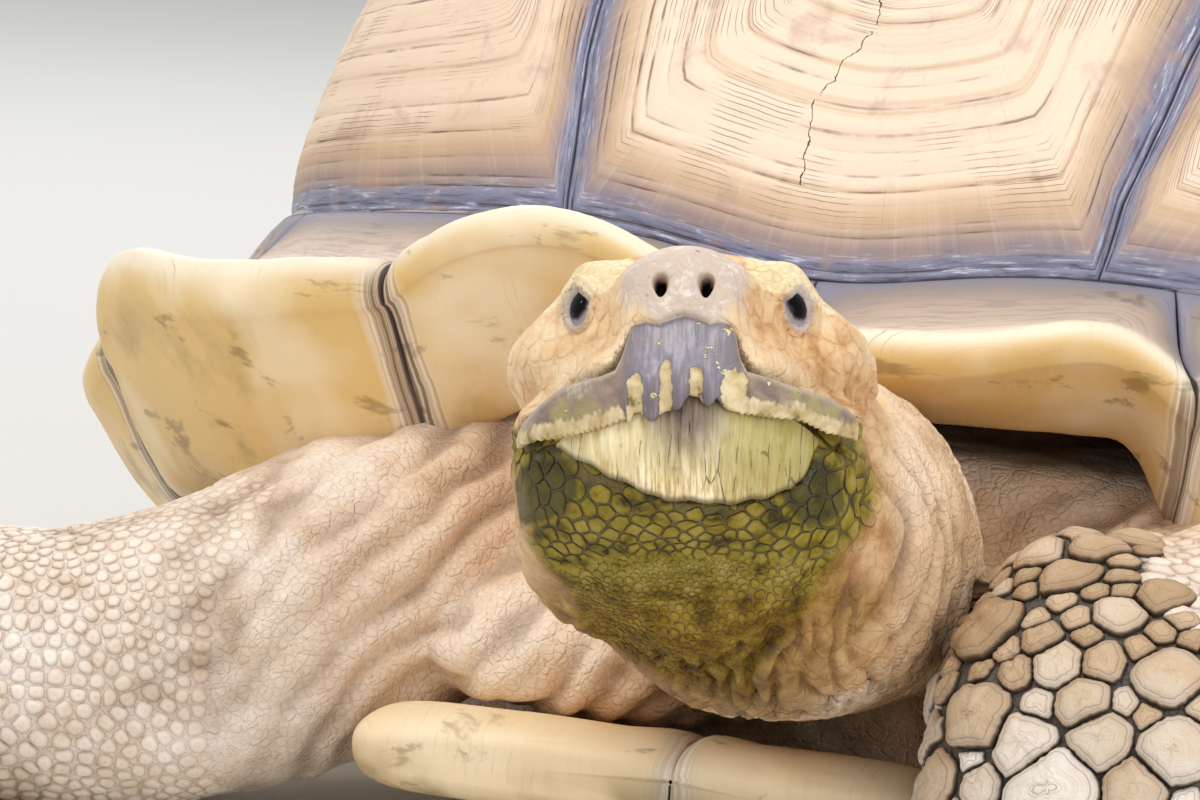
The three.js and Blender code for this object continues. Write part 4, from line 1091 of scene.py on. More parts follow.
def wallLoft(front):
    # the body's wall inside the shell's front or rear opening
    rings = []
    for z in np.linspace(19, 106, 12):
        angle = np.radians(np.linspace(-74, 74, 50))
        if not front:
            angle = np.pi - angle
        radius = outlineRadius(angle)
        bulge = 24 * math.sin(math.pi * np.clip((z - 30) / 80, 0, 1))
        side = radius - 26 - 14 * smooth((60 - z) / 40)
        ahead = smooth((np.cos(angle) - 0.72) / 0.2)
        behind = smooth((-np.cos(angle) - 0.72) / 0.2)
        radius = lerp(lerp(side, radius - 18 + bulge, ahead), radius - 36, behind)
        outer = np.stack([radius * np.sin(angle), -radius * np.cos(angle), np.full(50, z)], 1)
        inner = outer[::-1].copy()
        inner[:, 1] = np.sign(outer[25, 1]) * 118
        inner[:, 0] *= 0.9
        rings.append(np.concatenate([outer, inner[::7]]))
    return loftFrom(rings)


def remeshed(name, lofts, voxel):
    points, faceSets, start = [], [], 0
    for loftPoints, loftFaces in lofts:
        points.append(loftPoints)
        faceSets += [f + start for f in loftFaces]
        start += len(loftPoints)
    source = placed(name, meshFrom(name, np.concatenate(points), faceSets))
    change = source.modifiers.new("union", "REMESH")
    change.mode, change.voxel_size = "VOXEL", voxel * mm
    graph = bpy.context.evaluated_depsgraph_get()
    mesh = bpy.data.meshes.new_from_object(source.evaluated_get(graph))
    bpy.data.objects.remove(source)
    return mesh


def meshArrays(mesh):
    co = np.empty(len(mesh.vertices) * 3, np.float32)
    mesh.vertices.foreach_get("co", co)
    edges = np.empty(len(mesh.edges) * 2, np.int32)
    mesh.edges.foreach_get("vertices", edges)
    return co.reshape(-1, 3).astype(float) / mm, edges.reshape(-1, 2)


def relaxed(points, edges, times, weight=0.5):
    count = len(points)
    degree = np.bincount(edges.ravel(), minlength=count)[:, None]
    weight = np.broadcast_to(np.asarray(weight, float).reshape(-1, 1), (count, 1))
    for _ in range(times):
        total = np.stack([np.bincount(edges[:, 0], points[edges[:, 1], k], count)
                          + np.bincount(edges[:, 1], points[edges[:, 0], k], count) for k in range(3)], 1)
        points = points + (total / degree - points) * weight
    return points


def vertexNormals(mesh, points):
    mesh.vertices.foreach_set("co", (points * mm).ravel().astype(np.float32))
    mesh.update()
    normals = np.empty(len(points) * 3, np.float32)
    mesh.vertex_normals.foreach_get("vector", normals)
    return normals.reshape(-1, 3).astype(float)


def refine(mesh, chosen):
    # splits the faces round the chosen vertices once
    work = bmesh.new()
    work.from_mesh(mesh)
    work.verts.ensure_lookup_table()
    edges = [e for e in work.edges if chosen[e.verts[0].index] and chosen[e.verts[1].index]]
    bmesh.ops.subdivide_edges(work, edges=edges, cuts=1, use_grid_fill=True)
    work.to_mesh(mesh)
    work.free()
    mesh.update()


class Tube:
    # places points by distance along, angle round and depth in a limb's run
    def __init__(self, rows):
        fine, self.centre, ahead, self.across, self.above = limbFrames(rows)
        self.size = (fine[:, 3] + fine[:, 4]) / 2
        steps = lengths(np.diff(self.centre, axis=0))
        self.along = np.concatenate([[0], np.cumsum(steps)])

    def place(self, points):
        best = np.full(len(points), 1e9)
        index = np.zeros(len(points), int)
        for k in range(len(self.centre)):
            distance = lengths(points - self.centre[k]) / self.size[k]
            nearer = distance < best
            best[nearer] = distance[nearer]
            index[nearer] = k
        offset = points - self.centre[index]
        angle = np.arctan2(np.einsum("ij,ij->i", offset, self.above[index]),
                           np.einsum("ij,ij->i", offset, self.across[index]))
        ahead = np.cross(self.above[index], self.across[index])
        along = self.along[index] + np.einsum("ij,ij->i", offset, ahead)
        return along, angle, best


tubes = {name: Tube(rows) for name, rows in limbRows.items()}

eye = {
    "centre": (18.8, 11.4, 24.2), "axis": (0.74, 0.66, 0.04), "radius": 9.5, "openTall": 26, "openWide": 23,
    "browCut": 17, "browTurn": 52, "gazeUp": 0.1,
}


def eyeFrame(side):
    # centre, direction of the gaze, up, and the way to the nose
    centre = headPoint([(side * eye["centre"][0], eye["centre"][1], eye["centre"][2])])[0]
    axis = unit(np.array([side * eye["axis"][0], eye["axis"][1], eye["axis"][2]]) @ headBasis)
    up = unit(headBasis[2] - axis * (headBasis[2] @ axis))
    return centre, axis, up, side * np.cross(axis, up)


def eyeAngles(points, side):
    # angle from the gaze, and how far outside the lids' opening, in degrees
    centre, axis, up, nose = eyeFrame(side)
    offset = points - centre
    distance = lengths(offset)
    direction = offset / np.maximum(distance, 1e-6)[:, None]
    angle = np.degrees(np.arccos(np.clip(direction @ axis, -1, 1)))
    turn = np.arctan2(direction @ up, direction @ nose)
    openAt = 1 / np.sqrt((np.cos(turn) / eye["openWide"]) ** 2 + (np.sin(turn) / eye["openTall"]) ** 2)
    toBrow = np.cos(turn - math.radians(eye["browTurn"]))
    openAt = np.minimum(openAt, eye["browCut"] / np.maximum(toBrow, 0.2))
    return direction, distance, angle, angle - openAt, turn


# places beside the head's middle as side, forward and up, their radius, and the move outward, forward and up
headMoves = [
    ((24.5, 13, 35), 7.5, (2.4, 2.0, 2.8)),           # brow
    ((20.5, 20, 31), 6, (0, 1.8, 0)),                 # the brow's edge over the inner corner of the eye
    ((15.5, 25, 35), 6, (0, -1.0, -3.0)),             # groove between brow and snout
    ((0, 37, 27), 12.5, (0, 2.4, 1.2)),               # nose
    ((19.5, 32, 17), 8, (-2.6, -2.0, 0)),             # hollow in front of the eye
    ((33, 15, 10), 9, (1.4, 1.0, 0)),                 # soft cheek over the mouth
    ((40, -16, 16), 16, (1.4, 0, 0)),                 # cheek
    ((34, 3, 35), 9, (-1.2, 0, 0)),                   # temple
]


def sculptHead(points):
    # brows, snout, cheeks and mouth corners, as moves in the head's own frame
    h = toHead(points)
    s, f, u = h.T
    a = np.abs(s)
    sign = np.sign(s)
    inHead = smooth((f + 52) / 18)
    outward = np.stack([sign, np.ones_like(s), np.ones_like(s)], 1)
    move = np.zeros_like(h)
    for (side, ahead, high), radius, shift in headMoves:
        near = np.exp(-(((a - side) ** 2 + (f - ahead) ** 2 + (u - high) ** 2) / radius ** 2))
        move += near[:, None] * outward * shift
    drum = np.sqrt((f + 14) ** 2 + (u - 22) ** 2)
    onSide = smooth((a - 30) / 6)
    move[:, 0] += sign * onSide * (0.9 * bell(drum - 7.6, 1.8) - 1.1 * smooth((7 - drum) / 3))
    # the horn of both jaws sits over the skin, which steps back under it
    horn = smooth((f - 9) / 5) * smooth((upperTopAt(s) - 1.0 - u) / 2.0) * smooth((u - lowerLowAt(s) - 1.0) / 2.0)
    centreAt = np.stack([s * 0.4, np.full_like(f, 0.0), u], 1)
    inward = unit(centreAt - h)
    move += inward * (3.2 * horn)[:, None]
    # above the horn it swells out to meet the horn's edge
    sweep = np.radians(np.linspace(-80, 80, 81))
    plan = beaks["upper"]
    edgeSide = plan["side"] * np.sin(sweep) / np.sin(sweep[-1])
    edgeAhead = plan["back"] + (plan["front"] - plan["back"]) * np.cos(sweep) ** 0.8 + 12
    heading, away = np.arctan2(s, f + 12), np.hypot(s, f + 12)
    short = np.clip(np.interp(heading, np.arctan2(edgeSide, edgeAhead), np.hypot(edgeSide, edgeAhead)) - 0.7 - away,
        0, 9)
    above = u - upperTopAt(s)
    nearEdge = smooth((13 - above) / 13) * smooth((above + 3) / 2.5)
    short *= nearEdge * smooth((1.28 - np.abs(heading)) / 0.22) * (f > -14)
    move[:, 0] += short * np.sin(heading)
    move[:, 1] += short * np.cos(heading)
    corner = bell(u + 6.5 - 0.12 * (f - 2), 1.5) * smooth((a - 33) / 4) * smooth((f + 12) / 8) * smooth((17 - f) / 6)
    move[:, 0] -= sign * 1.8 * corner
    # nostrils
    fall = (21.6 - u) / 2.4                              # a drop, wide above and pointed below
    hole = np.sqrt(((a - 5.2 + 0.1 * fall) / (1.5 - 0.45 * np.clip(fall, -1, 1))) ** 2 + fall ** 2)
    front = smooth((f - 30) / 4)
    move[:, 1] -= 8.0 * smooth((1.2 - hole) / 0.5) * front
    move[:, 1] += 0.35 * bell(hole - 1.7, 0.4) * front
    return headPoint(h + move * inHead[:, None])


def carveEyes(points):
    for side in (1, -1):
        direction, distance, angle, ring, turn = eyeAngles(points, side)
        centre = eyeFrame(side)[0]
        aboveEye = smooth(0.5 + np.sin(turn) * 1.2)
        lid = eye["radius"] + 0.25 + 1.1 * smooth(ring / 3.0) + 0.4 * bell(ring - 17, 4.0)
        lid = lid - 0.5 * bell(ring - 11, 2.2) - 0.35 * bell(ring - 22, 1.8)
        lid = lid + 1.5 * aboveEye * smooth((ring - 4) / 5) * smooth((30 - ring) / 12)
        target = np.where(ring < 0, eye["radius"] - 1.6, lid)
        blendIn = smooth((angle - 36) / 26)
        wanted = np.where(angle < 62, lerp(target, distance, blendIn), distance)
        reach = (distance > 4) & (distance < 24) & (angle < 62)
        points = np.where(reach[:, None], centre + direction * wanted[:, None], points)
    return points


foldAxis = unit(np.array(cameraAxes()[1]) - np.array(cameraAxes()[2]))     # loose folds run across this


def regions(points):
    # how far each part claims each point, 0..1
    h = toHead(points)
    s, f, u = h.T
    claims = {"head": smooth((f + 50) / 14) * smooth((60 - np.abs(s)) / 8) * smooth((u + 62) / 8)}
    throat = smooth((f + 60) / 20) * smooth((-u - 8) / 20) * smooth((u + 75) / 10) * smooth((52 - np.abs(s)) / 8)
    claims["throat"] = throat
    for name, tube in tubes.items():
        along, angle, depth = tube.place(points)
        claims[name] = smooth((1.35 - depth) / 0.3)
    claims["neck"] = claims["neck"] * (1 - claims["head"])
    return claims


def chinEdge(s):
    # height of the lower edge of the chin, in the head's frame
    return -49.5 + 7.5 * ((s - 3) / 23) ** 2


def wrinkled(points, normals):
    claims = regions(points)
    h = toHead(points)
    lift = np.zeros(len(points))
    along, angle, depth = tubes["neck"].place(points)
    wave = along / 7.4 + 1.3 * noiseAt(points, 26, 2) + 0.5 * noiseAt(points, 11, 4)
    ridge = ridged(wave)
    neckPart = claims["neck"] * (1 - claims["armRight"] * 0.6)
    lift += neckPart * 2.3 * (smooth(ridge * 1.35) - 0.6) * (0.7 + 0.5 * noiseAt(points, 30, 5))
    wave = along / 2.6 + 0.8 * noiseAt(points, 9, 15)
    lift += neckPart * 0.45 * ridged(wave)
    # hanging folds under the throat, and rings behind the jaw
    s, f, u = h.T
    hanging = blob(h, [8, -22, -62], 36, [1.5, 1.2, 0.62])
    wave = (s + 0.16 * s * (u + 60) / 30) / 6.2 + 1.1 * noiseAt(points, 17, 16) + 0.4 * noiseAt(points, 6, 17)
    below = chinEdge(s) - u + 1.5 * noiseAt(points, 9, 21)
    lift += hanging * 4.2 * (smooth(1.7 * ridged(wave)) - 0.65) * smooth((below + 1) / 5)
    under = smooth((30 - np.abs(s - 3)) / 12) * smooth((0.25 - normals[:, 1]) / 0.4)
    under = under * smooth((f + 48) / 12) * smooth((34 - f) / 8)
    lift += under * (2.0 * bell(below + 6, 6) - 3.4 * bell(below - 4, 4))
    behind = blob(h, [52, -30, -22], 30, [0.7, 1.2, 1.5])
    wave = s / 6.8 + 0.012 * (u + 20) ** 2 / 6.8 + 0.8 * noiseAt(points, 20, 18)
    lift += behind * 3.2 * (smooth(1.7 * ridged(wave)) - 0.65)
    # the rolled top of the left foreleg's scaled part
    lift += 7.0 * blob(points, [88, -332, 98], 13)
    # loose diagonal folds between the neck and the right foreleg
    across = points @ foldAxis
    wave = across / 12.5 + 0.9 * noiseAt(points, 40, 7) + 0.25 * noiseAt(points, 13, 8)
    ridge = ridged(wave)
    shoulder = blob(points, [-78, -290, 66], 62) * (1 - claims["head"])
    lift += shoulder * 3.6 * (smooth(ridge * 1.2) - 0.55)
    chest = blob(points, [-38, -286, 54], 46, [1.2, 1, 1]) * (1 - claims["head"]) * (1 - shoulder)
    wave = across / 9.5 + 1.0 * noiseAt(points, 30, 19) + 0.3 * noiseAt(points, 9, 20)
    lift += chest * 3.4 * (smooth(ridged(wave) * 1.3) - 0.5)
    shoulder = blob(points, [96, -285, 84], 46) * (1 - claims["head"])
    lift += shoulder * 2.4 * (smooth(ridge * 1.2) - 0.5)
    # pockets round the hind legs and the tail root
    rear = smooth((points[:, 1] - 120) / 40)
    wave = points[:, 2] / 10 + points[:, 0] / 34 + 1.1 * noiseAt(points, 34, 9)
    lift += rear * 1.5 * ridged(wave)
    uneven = 0.45 * noiseAt(points, 7, 12) * (1 - 0.6 * claims["head"])
    lift += 1.6 * noiseAt(points, 24, 11) * (1 - claims["head"]) + uneven
    throat = claims["throat"] * (1 - smooth((h[:, 1] - 26) / 8))
    lift += throat * 0.8 * noiseAt(points, 5.0, 13)
    return points + normals * lift[:, None], lift


print("skin")


def makeSkinShape():
    front = [headLoft(skullRows, 2.4), headLoft(jawRows, 2.35), headLoft(cheekRows, 2.6), wallLoft(True)]
    front += [limbLoft(limbRows[name]) for name in ("neck", "armRight", "armLeft", "chest")]
    mesh = remeshed("skin", front, skinLook["voxel"])
    points, edges = meshArrays(mesh)
    points = relaxed(points, edges, skinLook["smoothing"])
    h = toHead(points)
    junction = blob(h, [0, -42, -12], 34, [1.3, 0.5, 1.1])
    points = relaxed(points, edges, skinLook["neckSmoothing"], np.clip(junction * 1.4, 0, 0.6))
    vertexNormals(mesh, points)
    for reach in (0, 1):
        points, edges = meshArrays(mesh)
        h = toHead(points)
        if reach == 0:
            chosen = (h[:, 1] > -48) & (h[:, 2] > -62) & (np.abs(h[:, 0]) < 62)
        else:
            eyes = np.minimum(*[lengths(points - eyeFrame(side)[0] - 7 * eyeFrame(side)[1]) for side in (1, -1)])
            nose = lengths(h - [0, 41, 22])
            chosen = (eyes < skinLook["eyeZone"]) | (nose < skinLook["noseZone"])
        refine(mesh, chosen)
    points, edges = meshArrays(mesh)
    points = relaxed(points, edges, skinLook["fineSmoothing"])
    points = sculptHead(points)
    points = relaxed(points, edges, 1, 0.4)
    normals = vertexNormals(mesh, points)
    points, lift = wrinkled(points, normals)
    points = carveEyes(points)
    points[:, 2] = np.maximum(points[:, 2], skinLook["floorGap"])
    vertexNormals(mesh, points)
    return mesh, points, edges, lift


skinMesh, skinPoints, skinEdges, skinLift = makeSkinShape()
print("skin vertices", len(skinPoints))


# horn of the jaws, eyes, lower shell and claws

# worn spots beside the hook: middle, height and half width
wornSpots = [(-10.7, -1.6, 1.9), (-3.5, 2.4, 1.5), (3.5, 0.6, 1.6), (12.4, -1.6, 3.2)]
beakLook = {
    "hook": "#8f8994", "hookDark": "#746c78", "hookPale": "#a7a1ab", "band": "#76645c", "bandPale": "#a38d79",
    "worn": "#c6ab78", "wornPale": "#e4d2a6", "green": "#85793c", "film": "#a99a62", "lower": "#efdca6",
    "lowerPale": "#fbefcb", "lowerGrey": "#806f5f",
    "lowerOlive": "#a79a45", "crack": "#4b3d2c",
}


def beakGrid(jaw, top, low, shapeAt, wander):
    # outer and inner faces of a curved band of horn, closed along its edges, and the masks of both jaws
    form = beaks[jaw]
    t = np.linspace(-1, 1, beaks["columns"])
    a = np.radians(t * form["sweep"])
    s = form["side"] * np.sin(a) / math.sin(math.radians(form["sweep"]))
    f = form["back"] + (form["front"] - form["back"]) * np.maximum(np.cos(a), 0) ** 0.8
    high, bottom = top(s)[:, None], low(s)[:, None]
    v = np.linspace(0, 1, beaks["rows"])
    u = lerp(high, bottom, v)
    k, push = shapeAt(s[:, None], u, v)
    outer = np.stack([s[:, None] * k, f[:, None] * k + push, u], 2)
    inward = np.stack([-np.sin(a), -np.cos(a), np.zeros_like(a)], 1)[:, None]
    inner = outer + inward * (beaks["thick"] * np.minimum(1, 0.35 + 3 * np.minimum(v, 1 - v))[None, :, None])
    grid = np.concatenate([outer, inner[:, ::-1]], 1)
    rough, seed, fineSize = wander
    flat = grid.reshape(-1, 3)
    uneven = rough * noiseAt(flat, 5, seed) + 0.12 * noiseAt(flat, fineSize, seed + 1)
    grid[:, :, 1] += uneven.reshape(grid.shape[:2])
    across, down = grid[:, :, 0], grid[:, :, 2]
    return grid, {"edge": down - bottom, "acrossMm": across, "downMm": down, "topEdge": high - down}


def hornMesh(name, grid, masks):
    points, faceSets = loftFrom(headPoint(grid.reshape(-1, 3)).reshape(grid.shape))
    return meshFrom(name, points, faceSets, {k: np.concatenate([v.ravel(), [0, 0]]) for k, v in masks.items()})


def wornAt(s, u):
    worn = 0 * (s + u)
    for at, height, wide in wornSpots:
        away = np.sqrt(((s - at) / wide) ** 2 + (np.maximum(0, u - height) / (wide * 1.3)) ** 2)
        worn = np.maximum(worn, smooth((1.2 - away) / 0.5))
    return worn


def makeUpperBeak(material):
    def low(s):
        a = np.abs(s)
        flat = np.stack([s, 0 * s, 0 * s], 1)
        teeth = np.abs((s / 1.5 + 0.8 * noiseAt(flat, 6, 1)) % 1 - 0.5) * 2
        size = 1.0 * smooth((a - 12.5) / 2) * smooth((39.5 - a) / 3) * (0.75 + 0.5 * noiseAt(flat, 3, 2))
        return upperLowAt(s) - size * (teeth - 0.5) + 0.35 * noiseAt(flat, 9, 3) * smooth((a - 10) / 4)

    def shapeAt(s, u, v):
        k = 1 - 0.045 * smooth((u - 1) / 13) - 0.012 * smooth((-u - 3) / 5)
        bulge = 1.5 * bell(s, 11) * np.sin(np.pi * np.clip((v - 0.05) / 0.95, 0, 1))
        band = 0.7 * np.sin(np.pi * np.clip(v, 0, 1)) * smooth((np.abs(s) - 14) / 4)
        lip = -0.8 * smooth((v - 0.72) / 0.25) * smooth((np.abs(s) - 12) / 4)
        ribs = 0.8 * (bell(s + 6.6, 1.7) + bell(s + 0.3, 1.4) + bell(s - 7.0, 1.6)) * smooth((5 - u) / 6)
        ridge = 0.06 * np.sin(s * 2.6 + 0.6 * np.sin(s * 0.7)) * bell(s, 10)
        return k, bulge + band + lip + ridge + ribs - 0.9 * wornAt(s, u)

    grid, masks = beakGrid("upper", upperTopAt, low, shapeAt, (0.35, 4, 1.6))
    masks["hook"] = smooth((14.5 - np.abs(grid[:, :, 0] + 0.3)) / 2.5)
    masks["wornSpot"] = wornAt(grid[:, :, 0], grid[:, :, 2])
    addPiece("upperBeakHorn", hornMesh("upperBeakHorn", grid, masks), material, ["upper_beak"])


def makeLowerBeak(material):
    low = lambda s: lowerLowAt(s) + 0.3 * np.sin(s * 0.8)

    def shapeAt(s, u, v):
        k = 1 - 0.075 * smooth((-u - 8) / 17)
        ridges = 0.34 * np.sin(s * 1.7 + 1.2 * np.sin(s * 0.53) + 0.5 * v) * np.sin(np.pi * v) ** 0.6
        ridges = ridges + 0.14 * np.sin(s * 4.3 + 2 * np.sin(s * 0.9))
        bulge = 1.3 * np.sin(np.pi * v) ** 0.8 - 0.6 * bell(np.abs(s - 3) - 7, 2.5)
        bulge = bulge + 0.8 * bell(s - 3, 4) * smooth(v * 2) - 1.1 * bell(s + 4, 1.2) * smooth((v - 0.3) / 0.5)
        return k, bulge + ridges

    grid, masks = beakGrid("lower", lowerTopAt, low, shapeAt, (0.4, 14, 1.8))
    masks["hook"] = bell(grid[:, :, 0] - 2.0, 9.0)
    addPiece("lowerBeakHorn", hornMesh("lowerBeakHorn", grid, masks), material, ["lower_beak"])


def hornSetup(name, roughness):
    material, tree, shader = newMaterial(name, roughness=roughness)
    place = objectPlace(tree)
    across, down = mask(tree, "acrossMm"), mask(tree, "downMm")
    flat = vectorOf(across, down * 0.1, 0.0)
    fibre = speckle(flat, 1.3, 3.5, 0.65, 0.25)
    grain = grainAt(place, 700.0)
    return material, tree, shader, place, across, down, fibre, grain


def makeUpperBeakMaterial():
    material, tree, shader, place, across, down, fibre, grain = hornSetup("upperBeakHorn", 0.32)
    edge, hook = mask(tree, "edge"), mask(tree, "hook")
    band = ramp(speckle(place, 130.0, 3.5), [(0.35, "band"), (0.65, "bandPale")], beakLook)
    front = ramp(fibre, [(0.2, "hookDark"), (0.5, "hook"), (0.85, "hookPale")], beakLook)
    front = blend(spread(abs(across), 7.5, 13.0) * 0.7, front, "#786a6c")
    front = blend(spread(down, 4.0, -8.0) * 0.85, front, "#706364")
    base = blend(hook, band, front)
    base = stained(base, beakLook["film"], place, 70.0, 0.5, 0.16, spread(abs(across), 9.0, 30.0, 0.1, 0.9))
    cloud = speckle(place, 210.0, 3.5)
    crumb = speckle(place, 560.0, 3.0, 0.7)
    worn = ramp(cloud, [(0.33, "green"), (0.42, "worn"), (0.64, "wornPale")], beakLook)
    rise = edge - (cloud - 0.5) * 6.0 + hook * 3.4
    ragged = mask(tree, "wornSpot") + (cloud - 0.5) * 2.4 + (crumb - 0.5) * 2.2
    wornMask = maths("MAXIMUM", spread(rise, 2.2, 3.6, 1.0, 0.0), spread(ragged, 0.42, 0.6))
    base = blend(wornMask, base, worn)
    top = spread(mask(tree, "topEdge"), 0.0, 1.8, 1.0, 0.0)
    base = blend(top * 0.6, base, "#cdbba6")
    scratch = spread(fibre, 0.62, 0.72)
    base = blend(scratch * 0.16, base, "#ded9de")
    shader["Base Color"] = base
    shader["Roughness"] = spread(wornMask, 0.0, 1.0, 0.27, 0.6)
    shader["Normal"] = bump(fibre * 0.3 + grain * 0.3 + cloud * wornMask * 1.4, 0.4)
    return material


def makeLowerBeakMaterial():
    material, tree, shader, place, across, down, fibre, grain = hornSetup("lowerBeakHorn", 0.36)
    facet = speckle(vectorOf(across, down * 0.3, 0.0), 0.32, 4.0, 0.6, 0.4)
    tone = fibre * 0.45 + facet * 0.55
    base = ramp(tone, [(0.34, "#cfae70"), (0.48, "lower"), (0.66, "lowerPale")], beakLook)
    grey = mask(tree, "hook") * spread(down - facet * 9.0, -29.0, -13.0)
    base = blend(maths("MULTIPLY", grey, 1.1, clamp=True), base, beakLook["lowerGrey"])
    cloud = speckle(place, 120.0, 3.5)
    leftSide = spread(across + cloud * 14.0, 12.0, 24.0)
    base = blend(leftSide * 0.75, base, beakLook["lowerOlive"])
    base = stained(base, beakLook["green"], place, 95.0, 0.56, 0.12, 0.55)
    cracks = cellEdges(stretched(vectorOf(across, down), (0.3, 0.05, 1.0)), 1.0)
    line = spread(cracks, 0.0, 0.03, 1.0, 0.0) * spread(cloud, 0.5, 0.62)
    base = blend(line * 0.5, base, beakLook["crack"])
    amber = spread(fibre, 0.55, 0.42) * spread(down, -14.0, -24.0)
    base = blend(amber * 0.5, base, "#a87a3a")
    low = spread(mask(tree, "edge"), 0.0, 1.6, 1.0, 0.0)
    base = blend(low * 0.8, base, "#5d5128")
    shader["Base Color"] = base
    shader["Roughness"] = spread(cloud, 0.3, 0.7, 0.28, 0.5)
    shader["Normal"] = bump(fibre * 0.6 + grain * 0.3 - line, 0.5)
    return material


def makeEyes():
    material, tree, shader = newMaterial("wetEye", roughness=0.05, ior=1.2)
    away = mask(tree, "fromAxis")
    streak = speckle(objectPlace(tree), 900.0, 3.0)
    warped = away + (streak - 0.5) * 5.0
    colour = ramp(warped * (1 / 60), [(0.0, "#010101"), (0.16, "#020202"), (0.24, "#0c0807"), (0.31, "#120d0d"),
        (0.35, "#4a4044"), (0.4, "#94888c"), (0.55, "#b7a9a8")])
    shader["Base Color"] = colour
    for side, name in sides:
        centre, axis, up, nose = eyeFrame(side)
        axis = unit(axis + up * eye["gazeUp"] - nose * 0.04)
        up = unit(up - axis * (up @ axis))
        back = np.cross(axis, up)
        rows, count = 40, 56
        theta = np.radians(np.linspace(0.5, 178, rows))
        phi = np.linspace(0, 2 * np.pi, count, endpoint=False)
        swell = eye["radius"] + 0.4 * smooth((24 - np.degrees(theta)) / 12)
        ring = np.cos(phi)[:, None] * up + np.sin(phi)[:, None] * back
        place = centre + swell[:, None, None] * (np.cos(theta)[:, None, None] * axis + np.sin(theta)[:, None, None]
            * ring)
        points, faceSets = loftFrom(place)
        away = np.concatenate([np.repeat(np.degrees(theta), count), [0, 180]])
        addPiece(f"eye_{name}_ball", meshFrom(f"eye_{name}", points, faceSets, {"fromAxis": away}), material,
                 [f"eye_{name}"])


gulars = {"root": -262.6, "front": -352, "seam": 1, "right": -92, "left": 72, "tipTop": 43, "tipThick": 26,
    "rootTop": 26}


def gularMesh(name, toX):
    rings = []
    steps = 70
    for t in 1 - (1 - np.linspace(0, 1, steps)) ** 1.6:
        y = lerp(gulars["root"], gulars["front"], t)
        rounded = math.sqrt(max(0.0, 1 - (max(0.0, t - 0.72) / 0.2805) ** 2))
        outer = lerp(gulars["seam"], toX, lerp(0.9, 1, t)) * (0.84 + 0.16 * rounded)
        top = lerp(gulars["rootTop"], gulars["tipTop"], float(smooth(t))) - 9 * (1 - rounded)
        thick = lerp(17, gulars["tipThick"], t) * (0.3 + 0.7 * rounded)
        side = math.copysign(1, toX)
        inner = gulars["seam"] + side * 0.25
        soft = side * min(9, thick * 0.4)
        control = [(inner, top - 0.5), (lerp(inner, outer, 0.25), top + 1), (lerp(inner, outer, 0.6), top + 1),
                   (outer - soft, top - 1), (outer, top - thick * 0.45), (outer - soft, top - thick * 0.95),
                   (lerp(inner, outer, 0.5), top - thick), (inner, top - thick)]
        curve = splineThrough([control[-1]] + control, 56)[6:]
        line = [(inner, z) for z in np.linspace(curve[-1][1], curve[0][1], 8)[1:-1]]
        section = np.concatenate([curve, line])
        rings.append(np.column_stack([section[:, 0], np.full(len(section), y), section[:, 1]]))
    grid = np.array(rings)
    count = grid.shape[1]
    flat = grid.reshape(-1, 3)
    fromMiddle = np.abs(flat[:, 0] - gulars["seam"])
    fromRoot = np.abs(flat[:, 1] - gulars["root"])
    growth = -5 * np.log(np.exp(-fromMiddle / 5) + np.exp(-fromRoot / 5))
    centre = np.repeat(grid.mean(1), count, axis=0)
    outward = unit(flat - centre)
    steps = np.abs((growth / 4.2 + 0.5 * noiseAt(flat, 26, 21)) % 1 - 0.5) * 2
    relief = 0.9 * noiseAt(flat, 24, 22) - 0.4 * smooth((steps - 0.75) / 0.25) * smooth(growth / 2)
    relief -= 0.9 * bell(growth, 2)
    relief *= smooth(fromMiddle / 3)
    flat = flat + outward * relief[:, None]
    points, faceSets = loftFrom(flat.reshape(grid.shape))
    worn = smooth((fromRoot - 50) / 36)
    middles = [grid[0].mean(0), grid[-1].mean(0)]
    growth, fromRoot, fromMiddle, worn = [np.concatenate([x, [x[:count].mean(), x[-count:].mean()]]) for x in (
        growth, fromRoot, fromMiddle, worn)]
    level = np.concatenate([grid[:, :, 2].ravel(), [m[2] for m in middles]])
    masks = {"growth": growth, "ends": growth, "under": 0.85 + 0 * growth, "lip": worn * 0.5,
        "soil": smooth((36 - level) / 12), "fromSeam": 20 + fromRoot * 0.5, "plateSeed": np.full(len(points),
        0.4 if toX > 0 else 0.7)}
    return meshFrom(name, points, faceSets, masks)


plastronRows = [
    (-262, 78, 7, 14), (-240, 94, 3, 14), (-205, 118, 0, 15), (-160, 140, 0, 17), (-128, 188, 0, 30),
    (-95, 198, 0, 41),
    (0, 200, 0, 40), (85, 198, 0, 41), (118, 186, 0, 30), (150, 138, 0, 17), (200, 120, 0, 15), (236, 96, 1, 14),
    (250, 80, 3, 13),
]
plastronSeams = (-262, -168, -108, 92, 188, 250)
plastronThick = 15


